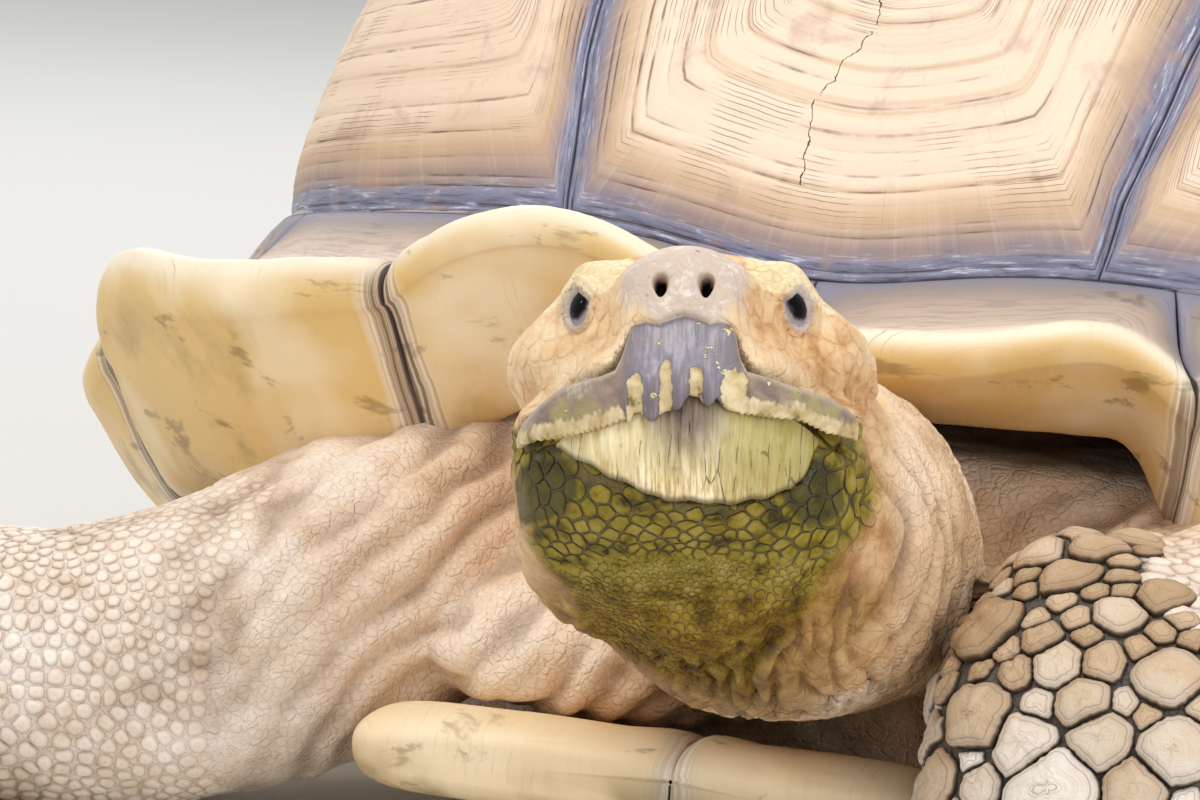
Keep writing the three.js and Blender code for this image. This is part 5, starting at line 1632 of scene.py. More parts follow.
def plastronMesh():
    rows = np.array(plastronRows, float)
    wanted = np.unique(np.concatenate([np.linspace(-262, 250, 150), plastronSeams]))
    wide, low, edge = [np.interp(wanted, rows[:, 0], rows[:, k]) for k in (1, 2, 3)]
    rings, growth = [], []
    for y, w, z, e in zip(wanted, wide, low, edge):
        flat = min(w - 12, 118)
        lowSide = [(0, z), (flat, z), (lerp(flat, w, 0.55), z + (e - plastronThick) * 0.4 + 2), (w, e - 6)]
        highSide = [(w - 2, e), (lerp(flat, w, 0.5), z + plastronThick + (e - plastronThick) * 0.25),
                    (flat - 6, z + plastronThick), (0, z + plastronThick)]
        half = []
        for a, b, count in zip(lowSide + highSide[:-1], (lowSide + highSide)[1:], (16, 6, 5, 3, 5, 6, 16)):
            half += [(lerp(a[0], b[0], i / count), lerp(a[1], b[1], i / count)) for i in range(count)]
        half.append(highSide[-1])
        half = np.array(half)
        notch = max(0.0, y - 216) * 0.42
        half[:, 0] = notch + half[:, 0] * (1 - notch / w)
        other = half[1:-1][::-1] * [-1, 1]
        section = np.concatenate([half, other])
        rings.append(np.column_stack([section[:, 0], np.full(len(section), y), section[:, 1]]))
        ySeam = min(abs(y - s) for s in plastronSeams)
        growth.append(np.minimum(np.abs(section[:, 0]), ySeam))
    grid = np.array(rings)
    points, faceSets = loftFrom(grid)
    growth = np.concatenate([np.concatenate(growth), [0, 0]])
    masks = {"growth": growth, "ends": growth, "under": np.full(len(points), 0.9), "lip": np.zeros(len(points)),
             "fromSeam": np.full(len(points), 40.0), "plateSeed": np.full(len(points), 0.5)}
    return meshFrom("plastron", points, faceSets, masks)


claws = {
    "fore": {"count": 5, "spread": 20, "width": 31, "length": 26, "radius": 8},
    "hind": {"count": 4, "spread": 22, "width": 24, "length": 25, "radius": 8.5},
}
feet = [((-324, -368, 8), -58, "fore"), ((120, -402, 8), 0, "fore"), ((206, 220, 8), 60, "hind"),
    ((-206, 220, 8), -60, "hind")]


def clawPlaces():
    for at, heading, kind in feet:
        form = claws[kind]
        across = math.radians(heading)
        for i in range(form["count"]):
            t = 2 * i / (form["count"] - 1) - 1
            x = at[0] + math.cos(across) * t * form["width"]
            y = at[1] + math.sin(across) * t * form["width"] + abs(t) * 6 * math.cos(across)
            yield np.array([x, y, at[2]]), math.radians(heading + t * form["spread"]), form, t


def makeClaws():
    material, tree, shader = newMaterial("clawHorn", roughness=0.4)
    place = objectPlace(tree)
    along = mask(tree, "along")
    fibre = speckle(vectorOf(mask(tree, "turn"), along * 0.3), 2.6, 5.0)
    base = ramp(along, [(0.0, "#5b4a3a"), (0.35, "#8d7658"), (0.8, "#c9b48d"), (1.0, "#e3d6b6")])
    base = blend(spread(fibre, 0.4, 0.7) * 0.5, base, "#4d3d2d")
    shader["Base Color"] = base
    grain = grainAt(place, 600.0)
    shader["Normal"] = bump(fibre + grain * 0.3, 0.4)
    points, faceSets, along, turn, start = [], [], [], [], 0
    rows, count = 18, 24
    for at, heading, form, t in clawPlaces():
        ahead = np.array([math.sin(heading), -math.cos(heading), 0])
        side = np.array([math.cos(heading), math.sin(heading), 0])
        share = np.linspace(0, 1, rows)
        reach = (share - 0.5) * form["length"] * 1.04
        fall = 4.2 - 1.5 * share - 5.2 * share ** 2
        size = form["radius"] * (1.02 - 0.62 * share ** 1.4) * np.sqrt(np.maximum(0.02, 1 - share ** 9))
        phi = np.linspace(0, 2 * np.pi, count, endpoint=False)
        ring = (at + ahead * reach[:, None])[:, None] + side * (size[:, None] * np.cos(phi))[..., None]
        high = fall[:, None] + size[:, None] * 0.72 * np.sin(phi) - 2.0 * np.maximum(0, -np.sin(phi)) * share[:, None]
        ring[:, :, 2] += high
        ring[:, :, 2] = np.maximum(ring[:, :, 2], 0.25)
        ringPoints, ringFaces = loftFrom(ring)
        points.append(ringPoints)
        faceSets += [f + start for f in ringFaces]
        start += len(ringPoints)
        along.append(np.concatenate([np.repeat(share, count), [0, 1]]))
        turn.append(np.concatenate([np.tile(np.cos(phi) * 3, rows), [0, 0]]))
    masks = {"along": np.concatenate(along), "turn": np.concatenate(turn)}
    addPiece("claws", meshFrom("claws", np.concatenate(points), faceSets, masks), material)


print("horn and eyes")
makeUpperBeak(makeUpperBeakMaterial())
makeLowerBeak(makeLowerBeakMaterial())
makeEyes()
addPiece("gularRight", gularMesh("gularRight", gulars["right"]), rimMaterial, ["gular_right"])
addPiece("gularLeft", gularMesh("gularLeft", gulars["left"]), rimMaterial, ["gular_left"])
addPiece("plastronPlates", plastronMesh(), rimMaterial, ["plastron"])
makeClaws()


# colours and relief of the hide, shared by skin and scales

hideLook = {
    "head": "#e4bb8b", "headPale": "#f4dab2", "headRust": "#bd8857", "brow": "#f3e0b8", "snout": "#d2bfae",
    "snoutDark": "#776a62",
    "lid": "#cfbfb5", "lidDark": "#a9968d", "ear": "#eee0d0", "chin": "#8c7b26", "chinDark": "#3a3413",
    "chinPale": "#ab9750",
    "throat": "#7f6208", "throatDark": "#433305", "throatPale": "#a3872f", "neck": "#ecc9a1", "neckDark": "#b8926a",
    "fold": "#eac4a0", "foldPale": "#f8e3cb", "foldDark": "#cc9f79", "dewlap": "#94691c", "dewlapDark": "#5e440f",
    "dewlapPale": "#b98f45", "arm": "#e6d4c3", "armPale": "#f6ebe0", "armDark": "#c8b298", "shade": "#80602c",
    "dust": "#bda98b", "gap": "#2f2519",
}
maskNames = ("headHere", "browHere", "snoutHere", "lidHere", "earHere", "chinHere", "smearHere", "throatHere",
    "foldHere",
             "armHere", "inShell", "nearFloor", "creaseShade", "nostril", "dewlapHere", "cheekShadeHere")


# half width of the stained throat at each height, in the head's frame
bibRows = ((-72, -62, -56, -47, -38, -30, -24, -17, -10), (4, 9, 15, 23, 30, 35, 38.5, 42, 44))


def hideMasks(points, lift):
    claims = regions(points)
    h = toHead(points)
    s, f, u = h.T
    a = np.abs(s)
    masks = {}
    masks["headHere"] = claims["head"] * smooth((f + 46) / 12) * smooth((50 - a) / 5)
    jaw = smooth((upperLowAt(s) + 6.3 - u - 0.3 * np.maximum(0, 6 - f)) / 2.6)
    jaw = jaw * smooth((f + 30 + 0.3 * (u + 20)) / 16)
    bib = np.interp(u, bibRows[0], bibRows[1]) + 4 * noiseAt(points, 14, 51) - np.abs(s - 0.5)
    masks["chinHere"] = jaw * masks["headHere"] * smooth((u + 50) / 22) * smooth(bib / 9 + 0.5)
    masks["throatHere"] = smooth(bib / 9 + 0.5) * smooth((-u - 22) / 12) * smooth((f + 50) / 16)
    below = smooth((bib + 26) / 26) * smooth((-u - 24) / 16) * smooth((f + 68) / 14)
    masks["dewlapHere"] = np.maximum(below, 0.75 * blob(h, [16, -24, -66], 30, [1.3, 1.0, 0.7]))
    smear = np.maximum(blob(h, [-33, 14, -19], 13, [1.0, 1.3, 0.55]), blob(h, [30, 20, -20], 11, [0.8, 1.3, 0.7]))
    masks["smearHere"] = np.clip(smear * 1.5, 0, 1)
    masks["browHere"] = smooth((u - 24) / 5) * smooth((a - 11.5) / 3.5) * smooth((f + 6) / 10) * smooth((33 - f) / 6)
    boss = lengths((h - [0, 34, 25]) / [0.95, 1.0, 1.05])
    # painted shade on the lower sides of the head, stronger on the animal's left
    masks["cheekShadeHere"] = masks["headHere"] * smooth((a - 22) / 12) * smooth((17 - u) / 12) * np.where(s > 0, 1, 0.45)
    masks["snoutHere"] = smooth((20 - boss) / 9)
    lid = np.zeros(len(points))
    for side in (1, -1):
        ring = eyeAngles(points, side)[3]
        near = smooth((16 - lengths(points - eyeFrame(side)[0])) / 3)
        lid = np.maximum(lid, smooth((9 - ring) / 5) * near)
    masks["lidHere"] = lid
    # the nostril holes, which the hide fills near black as painted shade
    masks["nostril"] = smooth((38.6 - f) / 1.6) * smooth((4.4 - lengths(np.stack([a - 5.2, u - 21.4], 1))) / 0.8)
    masks["nostril"] *= smooth((f - 26) / 3)
    masks["earHere"] = 0.75 * smooth((9.5 - lengths(np.stack([f + 14, u - 22], 1))) / 5) * smooth((a - 28) / 6)
    shoulder = np.maximum(blob(points, [-74, -286, 66], 66), blob(points, [92, -280, 84], 50))
    # the fold mask also covers the chest, where the pale fold colours are partly the chest's pinkish skin and partly
    # painted light lifting the shade under the neck and shell
    chest = smooth((-232 - points[:, 1]) / 20) * smooth((92 - points[:, 2]) / 20)
    shoulder = np.maximum(shoulder, chest * smooth((64 - np.abs(points[:, 0] + 10)) / 20))
    masks["foldHere"] = shoulder * (1 - masks["headHere"]) * (1 - 0.6 * claims["neck"])
    arm = np.maximum(np.maximum(claims["armRight"], claims["armLeft"]),
        np.maximum(claims["legLeft"], claims["legRight"]))
    masks["armHere"] = np.maximum(arm, claims["tail"]) * (1 - 0.8 * masks["foldHere"])
    depth = np.where(points[:, 1] < 0, 222, 250) - np.abs(points[:, 1])
    masks["inShell"] = smooth(depth / 80) * smooth((110 - points[:, 2]) / 30)
    masks["nearFloor"] = smooth((26 - points[:, 2]) / 22)
    # painted shade where the wrinkles sink in
    masks["creaseShade"] = smooth((-lift + 0.1) / 2.2)
    return masks


def hideGroupMade():
    # colour and relief of bare hide, from the masks that skin and scales both carry
    tree, given, out = nodeGroup("hide", [("Vector", "Vector", None)],
        [("Color", "Color"), ("Height", "Float"), ("Wet", "Float")])
    place = given["Vector"]
    here = {name: mask(tree, name) for name in maskNames}
    broad = speckle(place, 26.0, 3.5)
    fine = speckle(place, 150.0, 3.5, 0.6)
    tiny = speckle(place, 620.0, 3.0, 0.6)

    def toned(vector, *stops):
        return ramp(vector, stops, hideLook)

    base = toned(broad, (0.3, "neckDark"), (0.48, "neck"), (0.7, "foldPale"))
    fold = toned(broad, (0.32, "foldDark"), (0.47, "fold"), (0.66, "foldPale"))
    # pale fold colours: partly the folds' pinkish skin, partly painted light against the shade under the neck and
    # shell
    base = blend(here["foldHere"], base, fold)
    arm = toned(broad * 0.5 + fine * 0.5, (0.33, "armDark"), (0.45, "arm"), (0.6, "armPale"))
    base = blend(here["armHere"], base, arm)
    base = blend(here["inShell"] * 0.75, base, hideLook["shade"])
    head = toned(broad * 0.55 + fine * 0.45, (0.36, "headRust"), (0.46, "head"), (0.62, "headPale"))
    base = blend(here["headHere"], base, head)
    # mottled painted shade on the lower cheeks
    cheekShade = here["cheekShadeHere"] * spread(fine, 0.3, 0.6, 0.75, 0.3)
    base = blend(cheekShade, base, "#a9773f")
    ragged = (fine - 0.5) * 0.7

    def edged(name, low=0.35, high=0.65):
        return spread(here[name] + ragged, low, high)

    base = blend(edged("dewlapHere", 0.1, 0.9) * 0.8, base,
        toned(fine, (0.35, "dewlapDark"), (0.5, "dewlap"), (0.68, "dewlapPale")))

    base = blend(edged("browHere"), base, toned(fine, (0.35, "#e8cf9d"), (0.6, "brow")))
    snout = toned(fine * 0.5 + tiny * 0.5, (0.3, "snoutDark"), (0.38, "#d3bca9"), (0.53, "snout"), (0.68, "#f4e7da"))
    base = blend(edged("snoutHere", 0.25, 0.75), base, snout)
    base = blend(here["earHere"], base, hideLook["ear"])
    throat = toned(fine, (0.3, "throatDark"), (0.48, "throat"), (0.68, "throatPale"))
    base = blend(edged("throatHere", 0.1, 0.9), base, throat)
    chin = toned(fine, (0.3, "chinDark"), (0.47, "chin"), (0.7, "chinPale"))
    base = blend(edged("chinHere", 0.15, 0.85), base, chin)
    smear = spread(here["smearHere"] + ragged * 1.3, 0.42, 0.68)
    base = blend(smear * 0.78, base, "#32351a")
    base = blend(here["lidHere"] * 0.9, base, toned(fine, (0.35, "lidDark"), (0.65, "lid")))
    # painted shade in the hollows of wrinkles and folds, weaker on the head
    creaseShade = here["creaseShade"] * (1.0 - here["headHere"] * 0.7)
    base = blend(creaseShade * 0.55, base, "#70492b")
    base = blend(here["nearFloor"] * 0.45, base, hideLook["dust"])
    # painted shade: the nostril holes filled near black
    base = blend(here["nostril"], base, "#120a07")
    # painted shade in the gaps between tight scales
    base = blend(mask(tree, "gapShadeHere"), base, hideLook["gap"])
    out["Color"] = base
    wrinkle = spread(cellEdges(place, 420.0), 0.0, 0.16)
    onHead = 0.45 - here["headHere"] * 0.28
    calm = 0.5 - here["snoutHere"] * 0.4
    out["Height"] = wrinkle * onHead + tiny * 0.4 + spread(cellEdges(place, 190.0), 0.0, 0.12) * calm
    out["Wet"] = maths("MAXIMUM", here["lidHere"], here["chinHere"] * 0.5)
    return tree


hideGroup = hideGroupMade()


def makeSkinMaterial():
    material, tree, shader = newMaterial("skinHide", roughness=0.6)
    hide = useGroup(hideGroup, {"Vector": objectPlace(tree)})
    shader["Base Color"] = hide["Color"]
    shader["Roughness"] = spread(hide["Wet"], 0.0, 1.0, 0.62, 0.38)
    shader["Normal"] = bump(hide["Height"], 0.45)
    return material


def makeRearShape():
    rear = [wallLoft(False)] + [limbLoft(limbRows[name]) for name in ("legLeft", "legRight", "tail")]
    mesh = remeshed("rearSkin", rear, skinLook["rearVoxel"])
    points, edges = meshArrays(mesh)
    points = relaxed(points, edges, skinLook["rearSmoothing"])
    points, lift = wrinkled(points, vertexNormals(mesh, points))
    points[:, 2] = np.maximum(points[:, 2], skinLook["floorGap"])
    vertexNormals(mesh, points)
    return mesh, points, lift


def polygonSets(mesh):
    starts, sizes = np.empty(len(mesh.polygons), np.int32), np.empty(len(mesh.polygons), np.int32)
    mesh.polygons.foreach_get("loop_start", starts)
    mesh.polygons.foreach_get("loop_total", sizes)
    loops = np.empty(len(mesh.loops), np.int32)
    mesh.loops.foreach_get("vertex_index", loops)
    return [loops[starts[sizes == n][:, None] + np.arange(n)] for n in np.unique(sizes)]


def coreLoft():
    # unseen middle of the body, which joins its front and rear
    c, s = superEllipse(20, 3)
    rows = [(-190, 140, 22, 74), (-110, 172, 20, 100), (0, 180, 18, 140), (100, 172, 20, 110), (170, 120, 24, 76)]
    return loftFrom([np.stack([wide * c, np.full(20, y), (high + low) / 2 + (high - low) / 2 * s], 1)
                     for y, wide, low, high in rows])


def makeSkin():
    rearMesh, rearPoints, rearLift = makeRearShape()
    corePoints, coreFaces = coreLoft()
    points = np.concatenate([skinPoints, rearPoints, corePoints])
    lift = np.concatenate([skinLift, rearLift, 0 * corePoints[:, 0]])
    faceSets = polygonSets(skinMesh) + [f + len(skinPoints) for f in polygonSets(rearMesh)]
    faceSets += [f + len(skinPoints) + len(rearPoints) for f in coreFaces]
    mesh = meshFrom("skin", points, faceSets)
    setMasks(mesh, hideMasks(points, lift))
    addPiece("skin", mesh, makeSkinMaterial(), ["head", "lower_jaw", "neck", "foreleg_left", "foreleg_right",
        "trunk", "hindleg_left", "hindleg_right", "tail"])
    return mesh, points, lift


print("hide")
hideMesh, hidePoints, hideLift = makeSkin()


# scales: closed domed plates that sit in the skin

scaleSets = {
    "pebble": {"reach": 0.8, "corners": 12, "gap": 0.35, "round": 7, "rise": 0.34, "lean": 0.0,
               "profile": [(1.0, -0.5), (0.97, 0.25), (0.82, 0.72), (0.5, 0.97)]},
    "plate": {"reach": 0.95, "corners": 22, "gap": 0.22, "round": 12, "rise": 0.13, "lean": 0.0,
              "profile": [(1.0, -1.2), (0.99, 0.1), (0.95, 0.62), (0.86, 0.88), (0.6, 1.0)]},
    "flush": {"reach": 0.9, "corners": 18, "gap": 0.12, "round": 12, "rise": 0.045, "lean": 0.0,
              "profile": [(1.0, -1.5), (0.98, 0.1), (0.92, 0.7), (0.7, 1.0)]},
    "shield": {"reach": 0.68, "corners": 42, "gap": 0.1, "round": 14, "rise": 0.5, "lean": 0.08,
               "profile": [(0.94, -0.5), (0.985, -0.1), (1.0, 0.14), (0.985, 0.32), (0.96, 0.44), (0.92, 0.55),
                           (0.86, 0.65), (0.8, 0.74), (0.74, 0.79), (0.66, 0.87), (0.55, 0.93), (0.42, 0.97),
                           (0.26, 0.99), (0.12, 1.0)]},
    "spur": {"reach": 0.6, "corners": 30, "gap": 0.3, "round": 5, "rise": 1.5, "lean": 0.25,
             "profile": [(1.0, -0.1), (0.97, 0.04), (0.85, 0.16), (0.66, 0.36), (0.48, 0.6), (0.32, 0.8),
                 (0.18, 0.93), (0.08, 0.99)]},
}


scaleSets["heel"] = {**scaleSets["shield"], "corners": 30}
# spacing and search in sizes of a scale, patch in the unwrap's units, the rest in shares or mm
scaleShape = {
    "spacing": 0.46, "search": 2.3, "leastReach": 0.3, "edgeWobble": 0.03, "unevenness": 0.035,
    "heightSpread": 0.2, "floorGap": 0.2, "patch": 0.0015,
}


def skinTree(points):
    tree = KDTree(len(points))
    for k, place in enumerate(points):
        tree.insert(place, k)
    tree.balance()
    return tree


hideNormals = vertexNormals(hideMesh, hidePoints)
hideTree = skinTree(hidePoints)
hideMaskValues = np.stack([np.array([d.value for d in hideMesh.attributes[name].data]) for name in maskNames], 1)


def scattered(wanted, sizes, seed, fixed=(), filler=None):
    # chooses skin points about one size apart: first the fixed ones, then any, then small ones in the holes left
    order = np.random.RandomState(seed).permutation(np.nonzero(wanted)[0])
    chosen = list(fixed)
    for wantedSize in (sizes.copy(), None if filler is None else np.full(len(sizes), filler)):
        if wantedSize is None:
            break
        blocked = np.zeros(len(hidePoints), bool)

        def block(i):
            near = hideTree.find_range(hidePoints[i], scaleShape["spacing"] * (sizes[i] + wantedSize.max()))
            away, at = np.array([n[2] for n in near]), np.array([n[1] for n in near])
            blocked[at[away < scaleShape["spacing"] * (sizes[i] + wantedSize[at])]] = True

        for i in chosen:
            block(i)
        for i in order:
            if not blocked[i]:
                chosen.append(i)
                sizes[i] = wantedSize[i]
                block(i)
    return np.array(chosen)


def cellRadii(chosen, sizes, form, turns, across, above):
    # each cell's reach in every direction, cut off half way to its neighbours
    centres = hidePoints[chosen]
    near = skinTree(centres)
    radii = np.empty((len(chosen), len(turns)))
    sharp = form["round"]
    for k, i in enumerate(chosen):
        total = np.zeros(len(turns)) + (1 / (sizes[i] * form["reach"])) ** sharp
        for _, j, distance in near.find_range(centres[k], sizes[i] * scaleShape["search"]):
            if j == k or distance < 1e-6:
                continue
            offset = centres[j] - centres[k]
            x, y = offset @ across[k], offset @ above[k]
            reach = math.hypot(x, y) * sizes[i] / (sizes[i] + sizes[chosen[j]]) - form["gap"] / 2
            towards = np.maximum(np.cos(turns - math.atan2(y, x)), 1e-3)
            total += (towards / max(reach, scaleShape["leastReach"])) ** sharp
        radii[k] = total ** (-1 / sharp)
    return radii


def scalePatch(points):
    # place of each root on an unwrap of the skin: parts side by side, along across and angle up
    h = toHead(points)
    claims = regions(points)
    names = ["head", "armRight", "armLeft", "legLeft", "legRight", "tail", "neck"]
    best = np.argmax(np.stack([claims[n] for n in names], 1), axis=1)
    uv = np.stack([0.5 + np.arctan2(h[:, 0], h[:, 1] + 60) / 7, 0.5 + np.arctan2(h[:, 2], 40) / 3.4], 1)
    for k, name in enumerate(names[1:], 1):
        along, angle, depth = tubes[name].place(points)
        here = best == k
        uv[here] = np.stack([np.clip(along[here] / 340, 0, 1), 0.5 + angle[here] / (2 * np.pi)], 1)
    column = best % 4
    row = best // 4
    return np.stack([(column + 0.02 + 0.96 * np.clip(uv[:, 0], 0, 1)) / 4,
        (row + 0.02 + 0.96 * np.clip(uv[:, 1], 0, 1)) / 2], 1)


def makeScales(name, kind, chosen, sizes, material, leanTo=None, fade=None):
    form = scaleSets[kind]
    random = np.random.RandomState(len(chosen))
    corners, profile = form["corners"], form["profile"]
    turns = np.linspace(0, 2 * np.pi, corners, endpoint=False)
    centres, normals = hidePoints[chosen], hideNormals[chosen]
    hint = np.array([0, 0, -1.0]) if leanTo is None else leanTo
    above = unit(hint - normals * (normals @ hint)[:, None] + 1e-6)
    across = np.cross(above, normals)
    radii = cellRadii(chosen, sizes, form, turns, across, above)
    radii = radii * (1 + scaleShape["edgeWobble"] * random.uniform(-1, 1, radii.shape))
    edge = centres[:, None] + radii[..., None] * (np.cos(turns)[:, None] * across[:, None] + np.sin(turns)[:, None]
        * above[:, None])
    flat = edge.reshape(-1, 3)
    nearest = np.array([hideTree.find(p)[1] for p in flat])
    drop = np.einsum("ij,ij->i", flat - hidePoints[nearest], hideNormals[nearest])
    flat = flat - hideNormals[nearest] * np.clip(drop, -6, 6)[:, None]
    edge = flat.reshape(edge.shape)
    edgeNormals = unit(hideNormals[nearest].reshape(edge.shape) + normals[:, None])
    mean = radii.mean(1)
    strength = np.ones(len(chosen)) if fade is None else fade[chosen]
    varied = random.uniform(1 - scaleShape["heightSpread"], 1 + scaleShape["heightSpread"], len(chosen))
    height = form["rise"] * mean * varied * strength
    slope = form["lean"] * mean
    rings, rhos = [], []
    for share, level in profile:
        ring = centres[:, None] * (1 - share) + edge * share
        up = unit(normals[:, None] * (1 - share) + edgeNormals * share)
        lift = height[:, None] * level
        if level > 0:
            lift = lift + slope[:, None] * share * np.sin(turns) * min(1.0, level * 3)
            uneven = noiseAt(ring.reshape(-1, 3), 4.5, 31).reshape(lift.shape)
            lift = lift + scaleShape["unevenness"] * mean[:, None] * uneven
        rings.append(ring + up * lift[..., None])
        rhos.append(np.full(corners, share))
    top = centres + normals * height[:, None]
    bottom = centres + normals * (height * profile[0][1])[:, None]
    block = np.concatenate([np.stack(rings, 1).reshape(len(chosen), -1, 3), top[:, None], bottom[:, None]], 1)
    block[..., 2] = np.maximum(block[..., 2], scaleShape["floorGap"])
    per, count = block.shape[1], len(profile)
    quads = gridFaces(count, corners, closedColumns=True)
    caps = np.concatenate([fanFaces((count - 1) * corners + np.arange(corners), per - 2),
                           fanFaces(np.arange(corners), per - 1, flip=True)])
    quads, caps = turnOutward(block[0], [quads, caps])
    shift = (np.arange(len(chosen)) * per)[:, None, None]
    faceSets = [(quads[None] + shift).reshape(-1, 4), (caps[None] + shift).reshape(-1, 3)]
    rho = np.concatenate(rhos + [[0.0, 1.0]])
    edgeMm = np.concatenate([(radii * (1 - share)) for share, _ in profile] + [mean[:, None], 0 * mean[:, None]], 1)
    masks = {"rho": np.tile(rho, len(chosen)), "edgeMm": edgeMm.ravel(),
        "scaleSeed": np.repeat(random.rand(len(chosen)), per), "strength": np.repeat(strength, per)}
    rootMasks, edgeMasks = hideMaskValues[chosen], hideMaskValues[nearest].reshape(len(chosen), corners, -1)
    for k, title in enumerate(maskNames):
        parts = [lerp(rootMasks[:, None, k], edgeMasks[:, :, k], share) for share, _ in profile]
        masks[title] = np.concatenate(parts + [rootMasks[:, None, k]] * 2, 1).ravel()
    mesh = meshFrom(name, block.reshape(-1, 3), faceSets, masks)
    around = np.concatenate([np.tile(turns, count), [0, 0]])
    patch = np.stack([np.cos(around), np.sin(around)], 1) * (rho * scaleShape["patch"])[:, None]
    uv = (scalePatch(centres)[:, None] + patch[None]).reshape(-1, 2)
    loops = np.concatenate([f.ravel() for f in faceSets])
    mesh.uv_layers.new(name="OFBake").data.foreach_set("uv", uv[loops].astype(np.float32).ravel())
    print(name, len(chosen), "scales", len(quads) * 2 * len(chosen) + len(caps) * len(chosen), "triangles")
    addPiece(name, mesh, material)


def scaleMaterial(name, roughness, ringMm, ringDepth, topHighlight, gapShadeAndOutline, plateTone=None, ringDark=0.42,
    gapShadeAndOutlineTone="#3f342b"):
    material, tree, shader = newMaterial(name, roughness=roughness, ior=1.22)
    place = objectPlace(tree)
    hide = useGroup(hideGroup, {"Vector": place})
    rho, edge, seed = mask(tree, "rho"), mask(tree, "edgeMm"), mask(tree, "scaleSeed")
    fine = speckle(place, 240.0, 3.5)
    cloud = speckle(place, 60.0, 3.0)
    base = hide["Color"]
    if plateTone:
        level = put("SeparateXYZ", {0: place}, out="Z")
        tone = seed * 0.3 + cloud * 0.45 + spread(level, 0.1, 0.045, 0.0, 0.25)
        base = blend(0.85, base, ramp(tone, plateTone))
    # painted highlight: each scale paler towards its top, with a random tone per scale mixed in
    varied = (seed - 0.5) * 0.3
    centre = maths("ADD", spread(rho, 0.95, 0.35) * topHighlight, varied, clamp=True)
    base = blend(centre, base, "#fbf3e8", "SOFT_LIGHT")
    ring = speckleAlong((edge + fine * (ringMm * 0.3)) * (1 / ringMm), 1.0)
    lines = spread(ring, 0.56, 0.66)
    base = blend(lines * ringDark, base, "#6d5a48")
    # painted shade on each scale's side walls and round its edge; on the flush head scales a faint orange outline
    gap = spread(edge + fine * 0.25, 0.12, 0.55, 1.0, 0.0) * gapShadeAndOutline
    base = blend(gap * mask(tree, "strength"), base, gapShadeAndOutlineTone)
    shader["Base Color"] = base
    shader["Roughness"] = spread(fine, 0.3, 0.7, roughness - 0.1, roughness + 0.12)
    height = ring * -1.0 + fine * 0.5
    if plateTone:
        height = height + hide["Height"] * 0.25
    shader["Normal"] = bump(height, ringDepth)
    return material


# the largest scales of the left foreleg: across and down the view in mm from its middle, and their size
bigScales = [
    (102.8, 35.6, 13.5), (108.6, 42.6, 15), (121.2, 50.2, 12), (91.4, 54.4, 19), (102.3, 55.3, 9.5),
    (110.7, 51.2, 6.5),
    (107.0, 60.9, 13), (117.7, 60.9, 10.5), (132.1, 65.1, 17), (97.0, 64.2, 8.5), (87.2, 75.1, 19.5),
    (101.9, 70.5, 7),
    (112.1, 69.8, 13), (123.0, 70.5, 6.5), (126.7, 74.4, 6), (98.8, 80.2, 15.5), (116.3, 79.3, 15.5),
    (133.7, 82.1, 17.5),
    (85.8, 83.5, 6.5), (104.7, 90.7, 22), (124.4, 90.7, 15), (88.1, 89.5, 11.5), (91.4, 41.6, 7.5),
    (120.9, 41.6, 7.5),
    (130.9, 54.0, 7), (107.4, 27.0, 11), (80.5, 67.4, 8),
]


def seenAt(points):
    # each point across and down the view in mm, at the distance of the aim
    place, right, upward, forward = [np.array(v) for v in cameraAxes()]
    offset = points - place / mm
    scale = view["distance"] / (offset @ forward)
    return np.stack([offset @ right * scale, -(offset @ upward) * scale], 1)


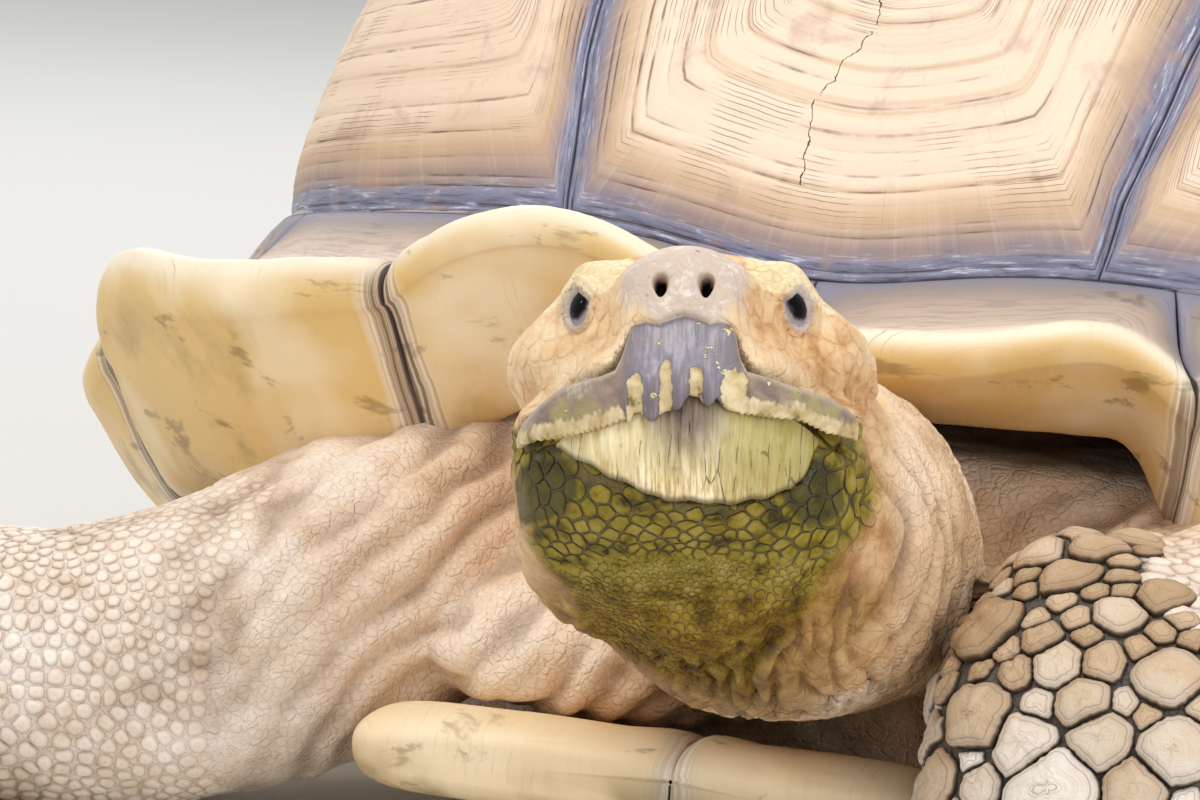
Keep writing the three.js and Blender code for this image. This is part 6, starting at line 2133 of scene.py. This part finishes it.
def scaleLayout():
    # sizes and places of every set, by part of the body
    h = toHead(hidePoints)
    s, f, u = h.T
    a = np.abs(s)
    claims = regions(hidePoints)
    x, y, z = hidePoints.T
    wobble = noiseAt(hidePoints, 16, 41)
    toFront = -hideNormals[:, 1]
    masks = {title: hideMaskValues[:, k] for k, title in enumerate(maskNames)}
    outside = z > 1.5
    free = (masks["lidHere"] < 0.2) & (masks["nostril"] < 0.1)
    layout, fades = {}, {}

    chin = (masks["chinHere"] > 0.5) & (u > -34)
    fades["chin"] = 0.15 + 0.85 * smooth((masks["chinHere"] - 0.5) / 0.4)
    layout["chin"] = (chin, lerp(5.4, 2.8, smooth((-u - 22) / 12)) * (1 + 0.24 * wobble))
    throat = (masks["throatHere"] > 0.4) & ~chin & (u > chinEdge(s) - 2 + 3 * wobble)
    fades["throat"] = 0.2 + 0.8 * smooth((masks["throatHere"] - 0.4) / 0.4) * smooth((u - chinEdge(s) + 3) / 6)
    layout["throat"] = (throat, 2.1 * (1 + 0.25 * wobble))

    brow = (masks["headHere"] > 0.5) & free & (u > 22) & (a > 11) & (f > -8) & (f < 32) & (masks["snoutHere"] < 0.5)
    layout["brow"] = (brow, 2.7 * (1 + 0.2 * wobble) + 2.5 * smooth((u - 37) / 4))
    side = (masks["headHere"] > 0.6) & free & ~brow & ~chin & ~throat & (masks["snoutHere"] < 0.4) & (u > -4)
    side &= (masks["earHere"] < 0.3) & ~((f > 12) & (u < 16)) & (a < 46) & (f > -44)
    layout["side"] = (side, (4.6 + 3.4 * smooth((u - 30) / 10)) * (1 + 0.2 * wobble))

    along, angle, depth = tubes["armRight"].place(hidePoints)
    total = tubes["armRight"].along[-1]
    ragged = along + 16 * noiseAt(hidePoints, 22, 43)
    right = (claims["armRight"] > 0.5) & (ragged > 112) & outside & (y < -262) & (x < -128)
    hand = smooth((along - total + 95) / 70) * smooth((46 - z) / 30)
    layout["armRight"] = (right, (lerp(2.7, 3.7, smooth((ragged - 112) / 45)) + 5.2 * hand) * (1 + 0.22 * wobble))
    fades["armRight"] = 0.25 + 0.75 * smooth((ragged - 115) / 60)

    along, angle, depth = tubes["armLeft"].place(hidePoints)
    left = (claims["armLeft"] > 0.5) & outside & (toFront > -0.35) & (y < -318) & (x > 58)
    left &= z < 112 - 0.55 * np.maximum(0, x - 92)
    layout["armLeft"] = (left & (masks["throatHere"] < 0.3), (13 + 3 * smooth((70 - z) / 40)) * (1 + 0.2 * wobble))

    fine = (claims["armLeft"] > 0.5) & outside & ~left & (masks["throatHere"] < 0.1) & (z < 122)
    fine &= y < -272 + 12 * wobble
    layout["armLeftFine"] = (fine, 5.0 * (1 + 0.22 * wobble))
    fades["armLeftFine"] = 0.3 + 0.7 * smooth((-y - 280) / 30)

    hind = np.maximum(claims["legLeft"], claims["legRight"])
    heel = (hind > 0.4) & outside & (hideNormals[:, 1] > -0.2) & (z < 40) & (y > 196)
    layout["hind"] = (heel, (8.5 + 3 * smooth((24 - z) / 16)) * (1 + 0.2 * wobble))
    layout["tail"] = ((claims["tail"] > 0.5) & (y > 214) & outside, 5.0 * (1 + 0.2 * wobble))
    return layout, fades


def bigScaleRoots(wanted, sizes):
    # skin points under the listed scales; sets their sizes
    seen = seenAt(hidePoints)
    forward = np.array(cameraAxes()[3])
    facing = np.nonzero(wanted & (hideNormals @ forward < -0.15))[0]
    roots = []
    for across, down, size in bigScales:
        away = lengths(seen[facing] - [across, down])
        best = int(facing[np.argmin(away)])
        if away.min() < 4 and best not in roots:
            roots.append(best)
            sizes[best] = size
    return roots


def shadeGaps():
    # painted shade: the hide showing in the gaps between tight scales is darkened
    dark = np.zeros(len(hidePoints))
    soft = smooth((hideMaskValues[:, maskNames.index("chinHere")] - 0.5) / 0.3)
    for part, amount in (("chin", 0.55 * soft), ("armLeft", 0.9), ("hind", 0.7)):
        dark = np.maximum(dark, layout[part][0] * amount)
    setMasks(hideMesh, {"gapShadeHere": dark})


print("scales")
layout, fades = scaleLayout()
shadeGaps()
pebbleMaterial = scaleMaterial("pebbleScale", 0.62, 1.4, 0.15, 0.5, 0.28, ringDark=0.12, gapShadeAndOutlineTone="#75604a")
throatMaterial = scaleMaterial("throatScale", 0.55, 1.4, 0.12, 0.1, 0.5, ringDark=0.2, gapShadeAndOutlineTone="#3d3010")
plateMaterial = scaleMaterial("plateScale", 0.5, 1.5, 0.15, 0.12, 0.85, ringDark=0.3, gapShadeAndOutlineTone="#232010")
flushMaterial = scaleMaterial("flushScale", 0.55, 1.6, 0.1, 0.16, 0.2, ringDark=0.08, gapShadeAndOutlineTone="#b07a50")
shieldMaterial = scaleMaterial("shieldScale", 0.46, 1.25, 0.5, 0.5, 0.9, [
    (0.3, "#a4835c"), (0.45, "#b99c7a"), (0.6, "#cdbca8"), (0.78, "#e6ddd4")], gapShadeAndOutlineTone="#2c2219")
scaleRows = (
    ("chin", "plate", plateMaterial), ("throat", "pebble", throatMaterial), ("brow", "flush", flushMaterial),
    ("side", "flush", flushMaterial), ("armRight", "pebble", pebbleMaterial), ("armLeft", "shield", shieldMaterial),
    ("armLeftFine", "pebble", pebbleMaterial), ("hind", "heel", shieldMaterial), ("tail", "pebble", pebbleMaterial),
)
for part, kind, material in scaleRows:
    wanted, sizes = layout[part]
    fixed = bigScaleRoots(wanted, sizes) if part == "armLeft" else ()
    filler = 6.5 if part in ("armLeft", "hind") else None
    chosen = scattered(wanted, sizes, 7, fixed, filler)
    makeScales("scales_" + part, kind, chosen, sizes, material, fade=fades.get(part))
spurPlaces = ((118, 214, 52), (108, 226, 40), (128, 222, 36))
spurRoots = np.array([hideTree.find((side * x, y, z))[1] for side in (1, -1) for x, y, z in spurPlaces])
spurSizes = np.full(len(hidePoints), 19.0)
makeScales("thighSpurs", "spur", spurRoots, spurSizes, shieldMaterial, leanTo=np.array([0, 1.0, -0.4]))


def noteSize():
    low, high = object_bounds()
    facts = {"frame": [list(lowest), list(highest)], "finished": [list(low), list(high)]}


print("done")
noteSize()
